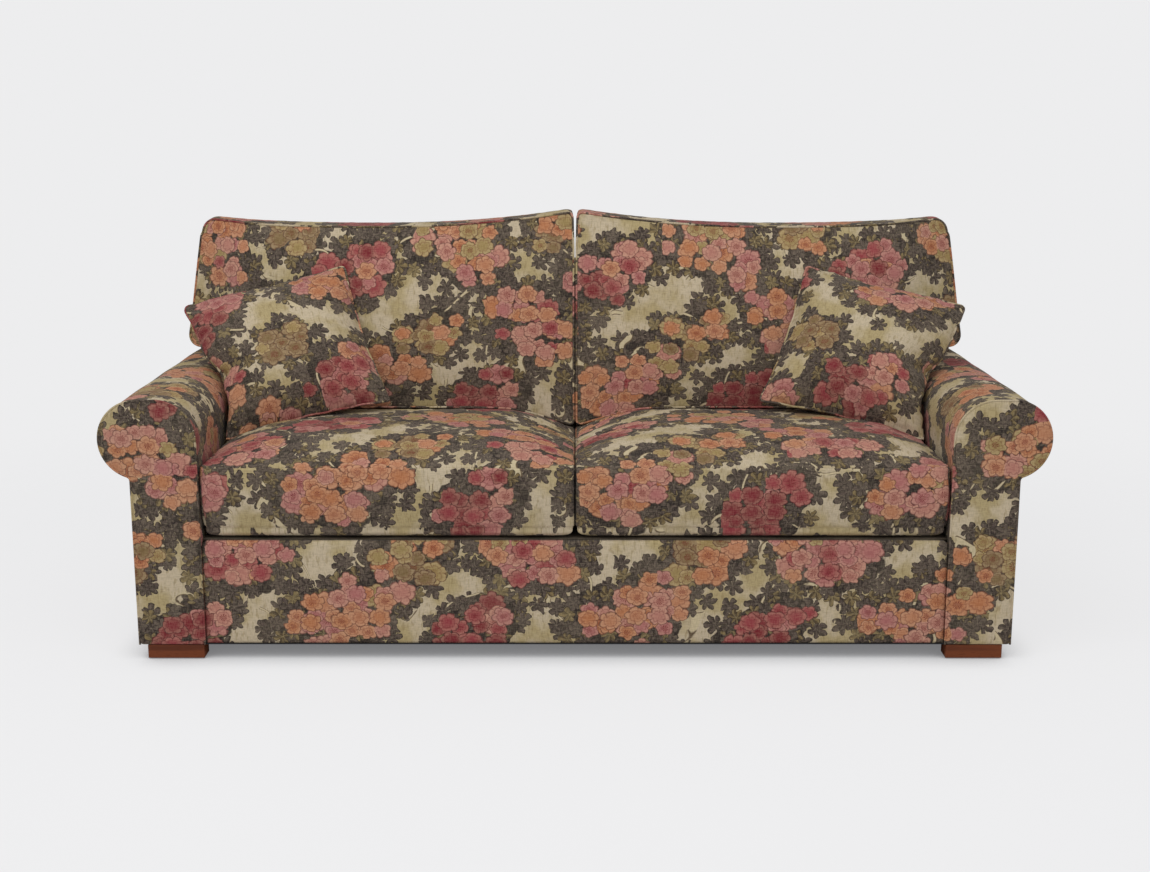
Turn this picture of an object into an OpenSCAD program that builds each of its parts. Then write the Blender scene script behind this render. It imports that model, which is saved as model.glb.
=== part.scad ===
// Scroll-arm sofa with two seat cushions, two back cushions and two scatter cushions.
// Millimetres. The front faces -Y, +Z is up, and the origin is on the floor under the middle.

/* [Overall] */
// Width over the two arm scrolls
sofa_w = 2256; // [2000:2:2600]
// Depth from the arm fronts to the outside back
sofa_d = 970; // [900:2:1050]
// Height of the wooden feet with their felt glides
foot_h = 36; // [25:1:80]

/* [Arms] */
// Width of an arm over its scroll
arm_w = 230; // [200:1:260]
// Height of the arm at the top of its scroll
arm_h = 640; // [600:1:700]
// Radius of the scroll
scroll_r = 95; // [85:1:105]
// Width of the arm panel under the scroll
arm_panel_w = 159; // [140:1:175]
// Thickness of the padded facing on the arm front
arm_facing_t = 10; // [6:1:16]
// Thickness of the foam on the arms
arm_foam_t = 18; // [10:1:24]

/* [Seat] */
// Height of the deck that the seat cushions lie on
deck_h = 300; // [280:1:330]
// Thickness of the felt and cloth deck
deck_t = 9; // [5:1:14]
// How far the front border sits behind the arm fronts
border_setback = 10; // [4:1:20]
// Thickness of the padding in the front border
border_pad_t = 12; // [6:1:18]
// Height of the seat cushions' boxing, from seam to seam
seat_boxing_h = 150; // [120:1:180]
// Rise of the crown above the top seam
seat_crown = 42; // [25:1:60]
// Height of the bottom seam above the deck
seat_seam_lift = 28; // [18:1:36]
// Depth of a seat cushion from front to back
seat_cushion_d = 752; // [700:1:756]
// Gap between two neighbouring cushions
cushion_gap = 8; // [5:1:16]
// Thickness of the foam core in a seat cushion
seat_core_t = 110; // [90:1:120]

/* [Back] */
// Height of the upholstered back frame
back_frame_h = 880; // [840:1:920]
// Distance of the back frame's sides from the outside of the scrolls
back_frame_setback = 98; // [96:1:130]
// Lean of the inside back from upright, in degrees
back_rake = 10; // [8:0.5:11]
// Distance from the arm fronts to the inside back at deck height
seat_reach = 760; // [756:1:780]
// Height of the back cushions' top seam at its lowest
back_top_h = 988; // [960:1:1020]
// Rise of the top seam at the inner corner
back_inner_rise = 44; // [20:1:55]
// Rise of the top seam at the outer corner
back_outer_rise = 17; // [8:1:25]
// Thickness of a back cushion at its top seam
back_top_t = 120; // [90:1:140]
// Crown of the back cushions' front face
back_crown = 58; // [40:1:70]
// Distance of the ears' outer edge from the outside of the scrolls
ear_setback = 52; // [28:1:78]

/* [Scatter cushions] */
// Side of a scatter cushion between its corners
scatter_side = 440; // [420:1:460]
// Thickness of a scatter cushion at its middle
scatter_t = 150; // [130:1:170]

/* [Feet] */
// Width of a foot
foot_w = 137; // [120:1:145]
// Depth of a foot from front to back
foot_d = 50; // [40:1:80]
// Distance of a foot's inner side from the arm's inner side
foot_inset = 3; // [1:0.5:6]
// Distance of a foot from the front or the back of the sofa
foot_setback = 5; // [4:1:30]
// Thickness of a glide under a foot
glide_t = 2; // [1:0.5:4]
// Diameter of the hanger bolt in a foot
bolt_d = 8; // [6:1:10]

/* [Frame] */
// Thickness of the hardwood rails and posts
rail_t = 28; // [22:1:32]
// Thickness of the plywood boards that shape the arms
ply_t = 15; // [12:1:18]
// Thickness of the hardboard liner in the arms
liner_t = 3; // [2:0.5:4]
// Thickness of the cover fabric
cloth_t = 2; // [1.5:0.5:3]
// Thickness of the padding on the inside back
back_pad_t = 15; // [10:1:20]
// Thickness of the back webbing
web_t = 1.5; // [1:0.5:2]
// Width of the webbing
web_w = 50; // [40:1:60]
// Number of upright webbing straps on each side of the back
web_count = 4; // [3:1:4]
// Diameter of the spring wire
wire_d = 4; // [3:0.5:5]
// Number of seat springs
spring_count = 8; // [6:1:10]
// Distance between two runs of a spring
spring_pitch = 60; // [50:1:70]

/* [Hidden] */
$fn = 64;

// Clearances: a flat face that rests, a soft form beside another body, and a drilled hole
rest_gap = 0.3;
soft_gap = 2;
bore_gap = 0.2;

half_w = sofa_w / 2;
seat_w = sofa_w - 2 * arm_w;
half_seat = seat_w / 2;
back_frame_w = sofa_w - 2 * back_frame_setback;
ear_reach = half_w - ear_setback;
scroll_z = arm_h - scroll_r;
scroll_x_out = half_w - scroll_r;
scroll_x_in = half_seat + scroll_r;
panel_x_out = half_seat + arm_panel_w;
arm_shell_t = cloth_t + arm_foam_t;
frame_front = arm_facing_t + ply_t;
frame_rear = sofa_d - cloth_t - ply_t;
dust_t = 1;
frame_bottom = foot_h + dust_t;
border_t = cloth_t + border_pad_t;
border_front = border_setback;
border_drop = 5;
border_top = deck_h - border_drop;
border_corner_r = 16;
rail_front = border_front + border_t;
spring_z = deck_h - deck_t - rest_gap - wire_d / 2;
clip_floor = 1;
rail_top = spring_z - wire_d / 2 - clip_floor;
back_shell_t = cloth_t + back_pad_t;
back_rail_setback = 60;
back_rail_y = seat_reach + back_rail_setback;
web_slack = 0.5;
back_front = back_shell_t + 2 * web_t + web_slack;
back_in = sofa_d - cloth_t;
back_z1 = back_frame_h - back_shell_t;
top_rail_h = 60;
far = 3 * sofa_w;
timber = "#a9835a";
plywood = "#c9a87a";
foam = "#e3dcc2";
fabric_a = "#a79a78";
fabric_b = "#b08a6a";
fabric_c = "#8d7f6c";

// Lean of the inside back: distance from the arm fronts at a height
function inside_back_y(z) = seat_reach + (z - deck_h) * tan(back_rake);

// Everything is drawn from the arm fronts backwards and then centred on the origin.
module placed() {
    translate([0, -sofa_d / 2, 0]) children();
}
module both_sides() {
    children();
    mirror([1, 0, 0]) children();
}
// Stands a front outline, drawn in X and Z, upright between two distances from the front
module slab(y0, y1) {
    translate([0, y1, 0]) rotate([90, 0, 0]) linear_extrude(y1 - y0) children();
}
// Stands a side outline, drawn in Y and Z, upright between two distances from the middle
module side_slab(x0, x1) {
    translate([x0, 0, 0]) rotate([90, 0, 90]) linear_extrude(x1 - x0) children();
}

// Front outline of the left arm, drawn in by a skin's thickness, down to a height
module arm_outline(inset, bottom) {
    r = scroll_r - inset;
    translate([-scroll_x_out, scroll_z]) circle(r);
    translate([-scroll_x_in, scroll_z]) circle(r);
    translate([-scroll_x_out, scroll_z - r]) square([scroll_x_out - scroll_x_in, 2 * r]);
    translate([-panel_x_out + inset, bottom])
        square([arm_panel_w - 2 * inset, scroll_z - bottom]);
}
module arm_shell(outer, inner) {
    slab(arm_facing_t, sofa_d - cloth_t) difference() {
        arm_outline(outer, frame_bottom);
        arm_outline(inner, frame_bottom - 1);
    }
}

// Hardwood base
module front_rail() {
    color(timber) placed() translate([-half_seat, rail_front, frame_bottom])
        cube([seat_w, rail_t, rail_top - frame_bottom]);
}
module back_rail() {
    color(timber) placed() translate([-half_seat, back_rail_y, frame_bottom])
        cube([seat_w, rail_t, rail_top - frame_bottom]);
}
rail_inner_y = rail_front + rail_t;
side_rail_drop = 40;
module side_rails() {
    color(timber) placed() both_sides() translate([-half_seat, rail_inner_y, frame_bottom])
        cube([rail_t, back_rail_y - rail_inner_y, rail_top - side_rail_drop - frame_bottom]);
}
centre_rail_x = seat_w / 6;
centre_rail_h = 110;
module centre_rails() {
    color(timber) placed() both_sides()
        translate([-centre_rail_x - rail_t / 2, rail_inner_y, frame_bottom])
            cube([rail_t, back_rail_y - rail_inner_y, centre_rail_h]);
}
block_leg = 90;
block_h = 60;
module corner_blocks() {
    y0 = rail_inner_y;
    y1 = back_rail_y;
    color(plywood) placed() both_sides()
        translate([-half_seat + rail_t, 0, frame_bottom + block_h]) linear_extrude(block_h) {
            polygon([[0, y0], [block_leg, y0], [0, y0 + block_leg]]);
            polygon([[0, y1], [0, y1 - block_leg], [block_leg, y1]]);
        }
}

// Feet: plain blocks under the arm posts, each on a felt glide and held by a hanger bolt
foot_x = half_seat + foot_inset + foot_w / 2;
bolt_in_foot = 20;
bolt_in_post = 45;
bolt_back = 0.7 * foot_d;
glide_margin = 7;
bolt_rows = [foot_setback + bolt_back, sofa_d - foot_setback - bolt_back];
module bolt_shaft(diameter) {
    translate([-foot_x, 0, foot_h - bolt_in_foot])
        cylinder(d = diameter, h = bolt_in_foot + dust_t + bolt_in_post, $fn = 32);
}
module foot(y, row) {
    difference() {
        translate([-foot_x - foot_w / 2, y, glide_t]) cube([foot_w, foot_d, foot_h - glide_t]);
        translate([0, row, 0]) bolt_shaft(bolt_d + 2 * bore_gap);
    }
}
module left_front_foot() {
    color("#64341e") placed() foot(foot_setback, bolt_rows[0]);
}
module right_front_foot() {
    mirror([1, 0, 0]) left_front_foot();
}
module left_rear_foot() {
    color("#64341e") placed() foot(sofa_d - foot_setback - foot_d, bolt_rows[1]);
}
module right_rear_foot() {
    mirror([1, 0, 0]) left_rear_foot();
}
module foot_bolts() {
    color("#9aa0a6") placed() both_sides() for (y = bolt_rows) translate([0, y, 0])
        bolt_shaft(bolt_d);
}
module foot_glides() {
    size = [foot_w - 2 * glide_margin, foot_d - 2 * glide_margin, glide_t];
    rows = [foot_setback, sofa_d - foot_setback - foot_d];
    color("#2b2b2b") placed() both_sides() for (y = rows)
        translate([-foot_x - size[0] / 2, y + glide_margin, 0]) cube(size);
}

// Arm frame: posts, top boards, scroll-shaped boards at each end, and a hardboard liner
post_x = half_seat + arm_shell_t + liner_t + rest_gap;
post_w = arm_panel_w - 2 * (arm_shell_t + liner_t + rest_gap);
post_d = 2 * rail_t;
module arm_posts() {
    color(timber) placed() both_sides() difference() {
        for (y = [frame_front, frame_rear - post_d])
            translate([-post_x - post_w, y, frame_bottom])
                cube([post_w, post_d, scroll_z - frame_bottom]);
        for (y = bolt_rows) translate([0, y, 0]) bolt_shaft(bolt_d + 2 * bore_gap);
    }
}
top_board_t = 22;
top_board_overhang = 20;
module arm_top_boards() {
    color(timber) placed() both_sides()
        translate([-scroll_x_out - top_board_overhang, frame_front, scroll_z])
            cube([scroll_x_out - scroll_x_in + 2 * top_board_overhang,
                frame_rear - frame_front, top_board_t]);
}
module arm_board(y) {
    slab(y, y + ply_t) arm_outline(arm_shell_t, frame_bottom);
}
module arm_facing_boards() {
    color(plywood) placed() both_sides() arm_board(arm_facing_t);
}
module arm_rear_boards() {
    color(plywood) placed() both_sides() arm_board(frame_rear);
}
module arm_liners() {
    color("#8a6b4a") placed() both_sides() slab(frame_front, frame_rear) difference() {
        arm_outline(arm_shell_t, frame_bottom);
        arm_outline(arm_shell_t + liner_t, frame_bottom - 1);
    }
}

// Arm upholstery
module left_arm_foam() {
    color(foam) placed() arm_shell(cloth_t, arm_shell_t);
}
module right_arm_foam() {
    mirror([1, 0, 0]) left_arm_foam();
}
module left_arm_cover() {
    color(fabric_a) placed() arm_shell(0, cloth_t);
}
module right_arm_cover() {
    mirror([1, 0, 0]) left_arm_cover();
}
module left_arm_facing() {
    color(fabric_b) placed() slab(0, arm_facing_t) arm_outline(0, frame_bottom);
}
module right_arm_facing() {
    mirror([1, 0, 0]) left_arm_facing();
}

// Front border: a padded panel over the front rail, with rounded top corners
module border_outline(inset) {
    w = half_seat - rest_gap - inset;
    r = border_corner_r - inset;
    bottom = frame_bottom + inset;
    top = border_top - inset;
    translate([-w, bottom]) square([2 * w, top - r - bottom]);
    translate([-w + r, top - r - 1]) square([2 * (w - r), r + 1]);
    for (x = [-w + r, w - r]) translate([x, top - r]) circle(r);
}
module front_border_cover() {
    color(fabric_c) placed() difference() {
        slab(border_front, rail_front) border_outline(0);
        slab(border_front + cloth_t, rail_front + 1) border_outline(cloth_t);
    }
}
module front_border_pad() {
    color(foam) placed() slab(border_front + cloth_t, rail_front) border_outline(cloth_t);
}

// Back frame: uprights with a raked front edge, rails between them, and blocks in the wings
back_corner_r = 30;
module back_outline(inset, bottom) {
    w = back_frame_w / 2 - inset;
    top = back_frame_h - inset;
    r = back_corner_r - inset / 2;
    translate([-w, bottom]) square([2 * w, top - r - bottom]);
    translate([-w + r, bottom]) square([2 * (w - r), top - bottom]);
    for (x = [-w + r, w - r]) translate([x, top - r]) circle(r);
}
module rake_strip(front, depth, z0, z1) {
    y0 = inside_back_y(z0) + front;
    y1 = inside_back_y(z1) + front;
    polygon([[y0, z0], [y1, z1], [y1 + depth, z1], [y0 + depth, z0]]);
}
module rake_to_back(z0, z1) {
    polygon([[inside_back_y(z0) + back_front, z0], [inside_back_y(z1) + back_front, z1],
        [back_in, z1], [back_in, z0]]);
}
back_post_xs = [half_seat - back_shell_t - rail_t, centre_rail_x];
module back_posts() {
    behind_rail = back_rail_y + rail_t;
    color(timber) placed() both_sides() for (x = back_post_xs) side_slab(-x - rail_t, -x) {
        rake_to_back(deck_h, back_z1 - top_rail_h);
        translate([behind_rail, frame_bottom]) square([back_in - behind_rail, deck_h - frame_bottom]);
    }
}
module back_top_rail() {
    bottom = back_z1 - top_rail_h;
    color(timber) placed() intersection() {
        side_slab(-far, far) rake_to_back(bottom, back_z1);
        slab(0, back_in) back_outline(back_shell_t, bottom);
    }
}
lower_rail_h = 50;
module back_lower_rails() {
    x0 = back_post_xs[0];
    x1 = back_post_xs[1] + rail_t;
    color(timber) placed() {
        both_sides() side_slab(-x0, -x1) rake_strip(back_front, rail_t, deck_h, deck_h + lower_rail_h);
        side_slab(-back_post_xs[1], back_post_xs[1])
            rake_strip(back_front, rail_t, deck_h, deck_h + lower_rail_h);
    }
}
module back_wing_blocks() {
    w = back_frame_w / 2 - back_shell_t;
    color(timber) placed() both_sides() side_slab(-w, -w + rail_t)
        rake_to_back(arm_h + back_shell_t, back_z1 - top_rail_h);
}

// Webbing on the back: level straps on the posts, and upright straps over them
band_margin = 40;
module back_webbing() {
    z0 = deck_h + 2;
    z1 = back_z1 - 5;
    band_z0 = deck_h + lower_rail_h + band_margin;
    band_step = (z1 - band_margin - web_w - band_z0) / 3;
    reach = half_seat - back_shell_t;
    color("#6d6a58") placed() {
        for (i = [0:3]) side_slab(-reach, reach)
            rake_strip(back_front - web_t, web_t, band_z0 + i * band_step, band_z0 + i * band_step + web_w);
        both_sides() for (i = [0:web_count - 1]) {
            x = (i + 0.5) * (reach - rail_t) / web_count;
            side_slab(-x - web_w / 2, -x + web_w / 2)
                rake_strip(back_front - 2 * web_t, web_t, z0, z1);
        }
    }
}

// Inside back: padding and cover over the front and top of the back frame, fitted round the arms
module back_form(inset, extra) {
    top = back_frame_h - inset;
    bottom = deck_h - extra;
    intersection() {
        slab(0, back_in + extra) back_outline(inset, bottom);
        side_slab(-far, far)
            polygon([[inside_back_y(bottom) + inset, bottom], [inside_back_y(top) + inset, top],
                [back_in + extra, top], [back_in + extra, bottom]]);
    }
}
module back_shell(outer, inner) {
    difference() {
        back_form(outer, 0);
        back_form(inner, 1);
        both_sides() slab(0, sofa_d) arm_outline(-rest_gap, 0);
    }
}
module inside_back_cover() {
    color(fabric_a) placed() back_shell(0, cloth_t);
}
module inside_back_pad() {
    color(foam) placed() back_shell(cloth_t + rest_gap, back_shell_t - rest_gap);
}
module outside_back_cover() {
    w = back_frame_w / 2;
    r = back_corner_r;
    color(fabric_c) placed() slab(back_in, sofa_d) {
        for (side = [-1, 1]) scale([side, 1]) arm_outline(0, frame_bottom);
        translate([-half_seat - 1, frame_bottom]) square([seat_w + 2, arm_h - frame_bottom]);
        translate([-scroll_x_in, scroll_z]) square([2 * scroll_x_in, scroll_r]);
        translate([-w, arm_h - 1]) square([2 * w, back_frame_h - r - arm_h + 1]);
        translate([-w + r, arm_h]) square([2 * (w - r), back_frame_h - arm_h]);
        for (x = [-w + r, w - r]) translate([x, back_frame_h - r]) circle(r);
    }
}
dust_margin = 8;
module dust_cover() {
    w = panel_x_out - dust_margin;
    color("#26262a") placed() difference() {
        translate([-w, dust_margin, foot_h]) cube([2 * w, sofa_d - 2 * dust_margin, dust_t]);
        both_sides() for (y = bolt_rows) translate([0, y, 0]) bolt_shaft(bolt_d + 2 * bore_gap);
    }
}

// Serpentine springs from the front rail to the back rail, and the clips that hold their ends
spring_half = 22;
spring_y0 = rail_front + rail_t / 2;
spring_y1 = back_rail_y + rail_t / 2;
spring_runs = 2 * round((spring_y1 - spring_y0) / spring_pitch / 2) + 1;
spring_step = (spring_y1 - spring_y0) / (spring_runs - 1);
spring_margin = rail_t + 20;
function spring_x(i) = -half_seat + spring_margin
    + (i + 0.5) * (seat_w - 2 * spring_margin) / spring_count;
module spring_bend(side) {
    r = spring_step / 2;
    intersection() {
        difference() {
            circle(r + wire_d / 2);
            circle(r - wire_d / 2);
        }
        translate([side > 0 ? 0 : -2 * r, -2 * r]) square([2 * r, 4 * r]);
    }
}
module spring() {
    linear_extrude(wire_d, center = true) for (i = [0:spring_runs - 1])
        translate([0, i * spring_step]) {
            side = i % 2 == 0 ? 1 : -1;
            translate([-spring_half, -wire_d / 2]) square([2 * spring_half, wire_d]);
            if (i < spring_runs - 1)
                translate([side * spring_half, spring_step / 2]) spring_bend(side);
        }
}
module seat_springs() {
    color("#8f9499") placed() for (i = [0:spring_count - 1])
        translate([spring_x(i), spring_y0, spring_z]) spring();
}
clip_w = 30;
clip_d = 18;
module clip() {
    slot = wire_d + 2 * bore_gap;
    difference() {
        translate([-clip_w / 2, -clip_d / 2, rail_top]) cube([clip_w, clip_d, clip_floor + wire_d]);
        translate([-clip_w, -slot / 2, spring_z - wire_d / 2]) cube([2 * clip_w, slot, wire_d + 1]);
    }
}
module spring_clips() {
    color("#6f757b") placed() for (i = [0:spring_count - 1], y = [spring_y0, spring_y1])
        translate([spring_x(i), y, 0]) clip();
}

// Felt and platform cloth over the springs
module seat_deck() {
    color("#4c463f") placed() translate([-half_seat, rail_front + rest_gap, deck_h - deck_t])
        cube([seat_w, seat_reach - rail_front - 2 * rest_gap, deck_t]);
}

// A closed skin over rings of points, each ring anticlockwise seen from the end of the row
function joined(lists) = [for (list = lists) for (item = list) item];
module skin(rings, first, last) {
    n = len(rings[0]);
    m = len(rings);
    sides = [for (i = [0:m - 2], j = [0:n - 1], half = [0, 1]) let (k = (j + 1) % n)
        half == 0 ? [i * n + j, (i + 1) * n + k, i * n + k]
            : [i * n + j, (i + 1) * n + j, (i + 1) * n + k]];
    caps = [for (j = [0:n - 1], end = [0, 1]) let (k = (j + 1) % n)
        end == 0 ? [m * n, j, k] : [m * n + 1, (m - 1) * n + k, (m - 1) * n + j]];
    polyhedron(concat(joined(rings), [first, last]), concat(sides, caps));
}
function arc(centre, r, from, to, steps) = [for (i = [0:steps])
    let (a = from + (to - from) * i / steps) centre + r * [cos(a), sin(a)]];
// Points strictly between two corners, drawn in at the middle by a pull
function side(p, q, steps, pull) = [for (i = [1:steps])
    let (t = i / (steps + 1), d = (q - p) / norm(q - p))
    p + (q - p) * t + [-d[1], d[0]] * pull * (1 - pow(2 * t - 1, 2))];

// Seat cushions: a boxed cushion with a flat seam, a bottom that lies flat, and a crown on top
// that falls away under the back cushion
seat_side_gap = 5;
seat_front = 2;
crown_power = 4.5;
seat_x0 = -half_seat + seat_side_gap;
seat_x1 = -cushion_gap / 2;
seat_y1 = seat_front + seat_cushion_d;
seat_mid = [(seat_x0 + seat_x1) / 2, (seat_front + seat_y1) / 2];
seat_half = [(seat_x1 - seat_x0) / 2, (seat_y1 - seat_front) / 2];
seat_bottom = deck_h + rest_gap;
seat_seam_z = seat_bottom + seat_seam_lift + seat_boxing_h;
seat_corner_r = 26;
seat_draw = 10;
seat_plan = let (x0 = seat_x0, x1 = seat_x1, y0 = seat_front, y1 = seat_y1, r = seat_corner_r) joined([
    arc([x0 + r, y0 + r], r, 180, 270, 3), side([x0 + r, y0], [x1 - r, y0], 7, 0),
    arc([x1 - r, y0 + r], r, 270, 360, 3), side([x1, y0 + r], [x1, y1 - r], 6, seat_draw / 2),
    arc([x1 - r, y1 - r], r, 0, 90, 3), side([x1 - r, y1], [x0 + r, y1], 7, 0),
    arc([x0 + r, y1 - r], r, 90, 180, 3), side([x0, y1 - r], [x0, y0 + r], 6, seat_draw)]);
// Share of a crown's full rise at a place, from 1 at the middle to 0 at the edges
function crown_share(u, v, power) = (1 - pow(min(1, abs(u)), power)) * (1 - pow(min(1, abs(v)), power));
// Height of the left seat cushion's top at a place
crown_slope_len = 324;
crown_slope_power = 1.3;
function seat_top(x, y) =
    let (front = max(0, (seat_mid[1] - y) / seat_half[1]),
        back = min(1, max(0, 1 + (y - seat_y1) / crown_slope_len)))
    seat_seam_z + seat_crown * crown_share((x - seat_mid[0]) / seat_half[0], front, crown_power)
        * (1 - pow(back, crown_slope_power));
function seat_ring(s, z) = [for (p = seat_plan) let (q = seat_mid + (p - seat_mid) * s) [q[0], q[1], z]];
function crown_ring(s) = [for (q = seat_ring(s, 0)) [q[0], q[1], seat_top(q[0], q[1])]];
seat_rings = concat(
    [seat_ring(0.9, seat_bottom), seat_ring(0.965, seat_bottom + 0.15 * seat_seam_lift),
        seat_ring(0.99, seat_bottom + 0.5 * seat_seam_lift), seat_ring(1, seat_bottom + seat_seam_lift),
        seat_ring(1.003, seat_seam_z - seat_boxing_h / 2), seat_ring(1, seat_seam_z)],
    [for (s = [0.97, 0.92, 0.85, 0.74, 0.58, 0.35]) crown_ring(s)]);
core_margin = 60;
core_lift = 20;
module seat_core(clearance) {
    c = clearance;
    size = [2 * (seat_half[0] - core_margin), 2 * (seat_half[1] - core_margin), seat_core_t];
    translate([seat_x0 + core_margin - c, seat_front + core_margin - c, seat_bottom + core_lift - c])
        cube(size + 2 * c * [1, 1, 1]);
}
seat_zip_len = 600;
zip_w = 8;
zip_t = 3;
module seat_zip(depth) {
    zip_z = seat_seam_z - (seat_boxing_h + zip_w) / 2;
    translate([seat_mid[0] - seat_zip_len / 2, seat_y1 - zip_t - 1, zip_z])
        cube([seat_zip_len, depth, zip_w]);
}
module left_seat_cushion() {
    color(fabric_b) placed() difference() {
        skin(seat_rings, [seat_mid[0], seat_mid[1], seat_bottom],
            [seat_mid[0], seat_mid[1], seat_top(seat_mid[0], seat_mid[1])]);
        seat_core(rest_gap);
        seat_zip(3 * zip_t);
    }
}
module left_seat_core() {
    color(foam) placed() seat_core(0);
}
module left_seat_zip() {
    color("#5b5347") placed() seat_zip(zip_t);
}
module right_seat_cushion() {
    mirror([1, 0, 0]) left_seat_cushion();
}
module right_seat_core() {
    mirror([1, 0, 0]) left_seat_core();
}
module right_seat_zip() {
    mirror([1, 0, 0]) left_seat_zip();
}

// Back cushions: their outline stands on the seat, fits round the arm scroll and has an ear over the arm
back_foot_lead = 205;
back_foot_y = seat_reach - back_foot_lead;
back_lean = 19;
ear_lead = 78;
ear_start = half_seat - ear_lead;
crown_mid_setback = 418;
crown_mid_drop = 228;
back_mid = [-half_seat + crown_mid_setback, back_top_h - crown_mid_drop];
back_low = seat_seam_z + soft_gap;
back_inner_x = -cushion_gap / 2;
back_wall_x = -half_seat + soft_gap;
ear_low = arm_h + soft_gap;
ear_flare = 40;
ear_top_x = ear_reach - ear_flare;
inner_top_z = back_top_h + back_inner_rise;
outer_top_z = back_top_h + back_outer_rise;
sag_setback = 338;
sag_x = -half_seat + sag_setback;
foot_r = 25;
// The bottom slopes up to the front, over the crown of the seat cushion
back_foot_lift = seat_top(seat_mid[0], back_foot_y) - seat_seam_z;
inner_top_r = 24;
outer_top_r = 36;
ear_r = 32;
function top_edge_z(x) = back_top_h + (x > sag_x
    ? back_inner_rise * pow((x - sag_x) / (back_inner_x - sag_x), 2.2)
    : back_outer_rise * pow((x - sag_x) / (-ear_top_x - sag_x), 2.2));
top_x0 = back_inner_x - inner_top_r;
top_x1 = -ear_top_x + outer_top_r;
foot_in = [back_inner_x - foot_r, back_low + foot_r];
foot_out = [back_wall_x + foot_r, back_low + foot_r];
back_plan = joined([
    arc(foot_in, foot_r, 270, 360, 3),
    side([back_inner_x, foot_in[1]], [back_inner_x, inner_top_z - inner_top_r], 5, 1),
    arc([top_x0, inner_top_z - inner_top_r], inner_top_r, 0, 90, 3),
    [for (i = [1:9]) let (x = top_x0 + (top_x1 - top_x0) * i / 10) [x, top_edge_z(x)]],
    arc([top_x1, outer_top_z - outer_top_r], outer_top_r, 90, 180, 4),
    side([-ear_top_x, outer_top_z - outer_top_r], [-ear_reach, ear_low + ear_r], 4, 3),
    arc([-ear_reach + ear_r, ear_low + ear_r], ear_r, 180, 270, 3),
    arc([-scroll_x_in, scroll_z], scroll_r + soft_gap, 90, 0, 5),
    arc(foot_out, foot_r, 180, 270, 3), side([foot_out[0], back_low], [foot_in[0], back_low], 9, 0)]);
function smooth(t) = let (u = max(0, min(1, t))) u * u * (3 - 2 * u);
function back_edge_y(x, z) =
    let (middle = back_foot_y + (z - back_low) * tan(back_lean),
        ear = inside_back_y(z) - 0.7 * back_top_t,
        mix = smooth((-x - ear_start) / (ear_reach - ear_start)))
    min(middle + (ear - middle) * mix, inside_back_y(z) - 0.5 * back_top_t);
function back_bulge(x, z) = back_crown * crown_share(
    (x - back_mid[0]) / (x < back_mid[0] ? ear_reach + back_mid[0] : back_inner_x - back_mid[0]),
    (z - back_mid[1]) / (z > back_mid[1] ? outer_top_z - back_mid[1] : back_mid[1] - back_low), 2.5);
// A ring of the left back cushion: a part of 0 lies on the back frame, and 1 is the front face
function back_ring(s, part) = [for (p = back_plan)
    let (q = back_mid + (p - back_mid) * s,
        front = back_edge_y(q[0], q[1]) - back_bulge(q[0], q[1]) * (1 - pow(s, 9)),
        rear = inside_back_y(q[1]) - rest_gap,
        lift = back_foot_lift * part * max(0, (back_mid[1] - q[1]) / (back_mid[1] - back_low)))
    [q[0], rear + (front - rear) * part, q[1] + lift]];
back_rings = concat(
    [back_ring(0.6, 0), back_ring(0.97, 0), back_ring(1, 0.15), back_ring(1, 0.55)],
    [for (s = [1, 0.96, 0.88, 0.76, 0.6, 0.4, 0.2]) back_ring(s, 1)]);
fill_margin = [68, 76];
fill_x = [-half_seat + fill_margin[0], back_inner_x - fill_margin[1]];
fill_z = [back_low + 80, back_top_h - 58];
fill_behind = 60;
fill_t = 80;
module back_fill(clearance) {
    c = clearance;
    side_slab(fill_x[0] - c, fill_x[1] + c)
        rake_strip(-fill_behind - fill_t - c, fill_t + 2 * c, fill_z[0] - c, fill_z[1] + c);
}
back_zip_z = back_low + 60;
back_zip_len = 560;
module back_zip(depth) {
    side_slab(back_mid[0] - back_zip_len / 2, back_mid[0] + back_zip_len / 2)
        rake_strip(-rest_gap - zip_t, depth, back_zip_z, back_zip_z + zip_w);
}
module left_back_cushion() {
    rear_y = inside_back_y(back_mid[1]) - rest_gap;
    color(fabric_b) placed() difference() {
        skin(back_rings, [back_mid[0], rear_y, back_mid[1]],
            [back_mid[0], back_edge_y(back_mid[0], back_mid[1]) - back_crown, back_mid[1]]);
        back_fill(rest_gap);
        back_zip(3 * zip_t);
    }
}
module left_back_fill() {
    color(foam) placed() back_fill(0);
}
module left_back_zip() {
    color("#5b5347") placed() back_zip(zip_t);
}
module right_back_cushion() {
    mirror([1, 0, 0]) left_back_cushion();
}
module right_back_fill() {
    mirror([1, 0, 0]) left_back_fill();
}
module right_back_zip() {
    mirror([1, 0, 0]) left_back_zip();
}

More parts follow.
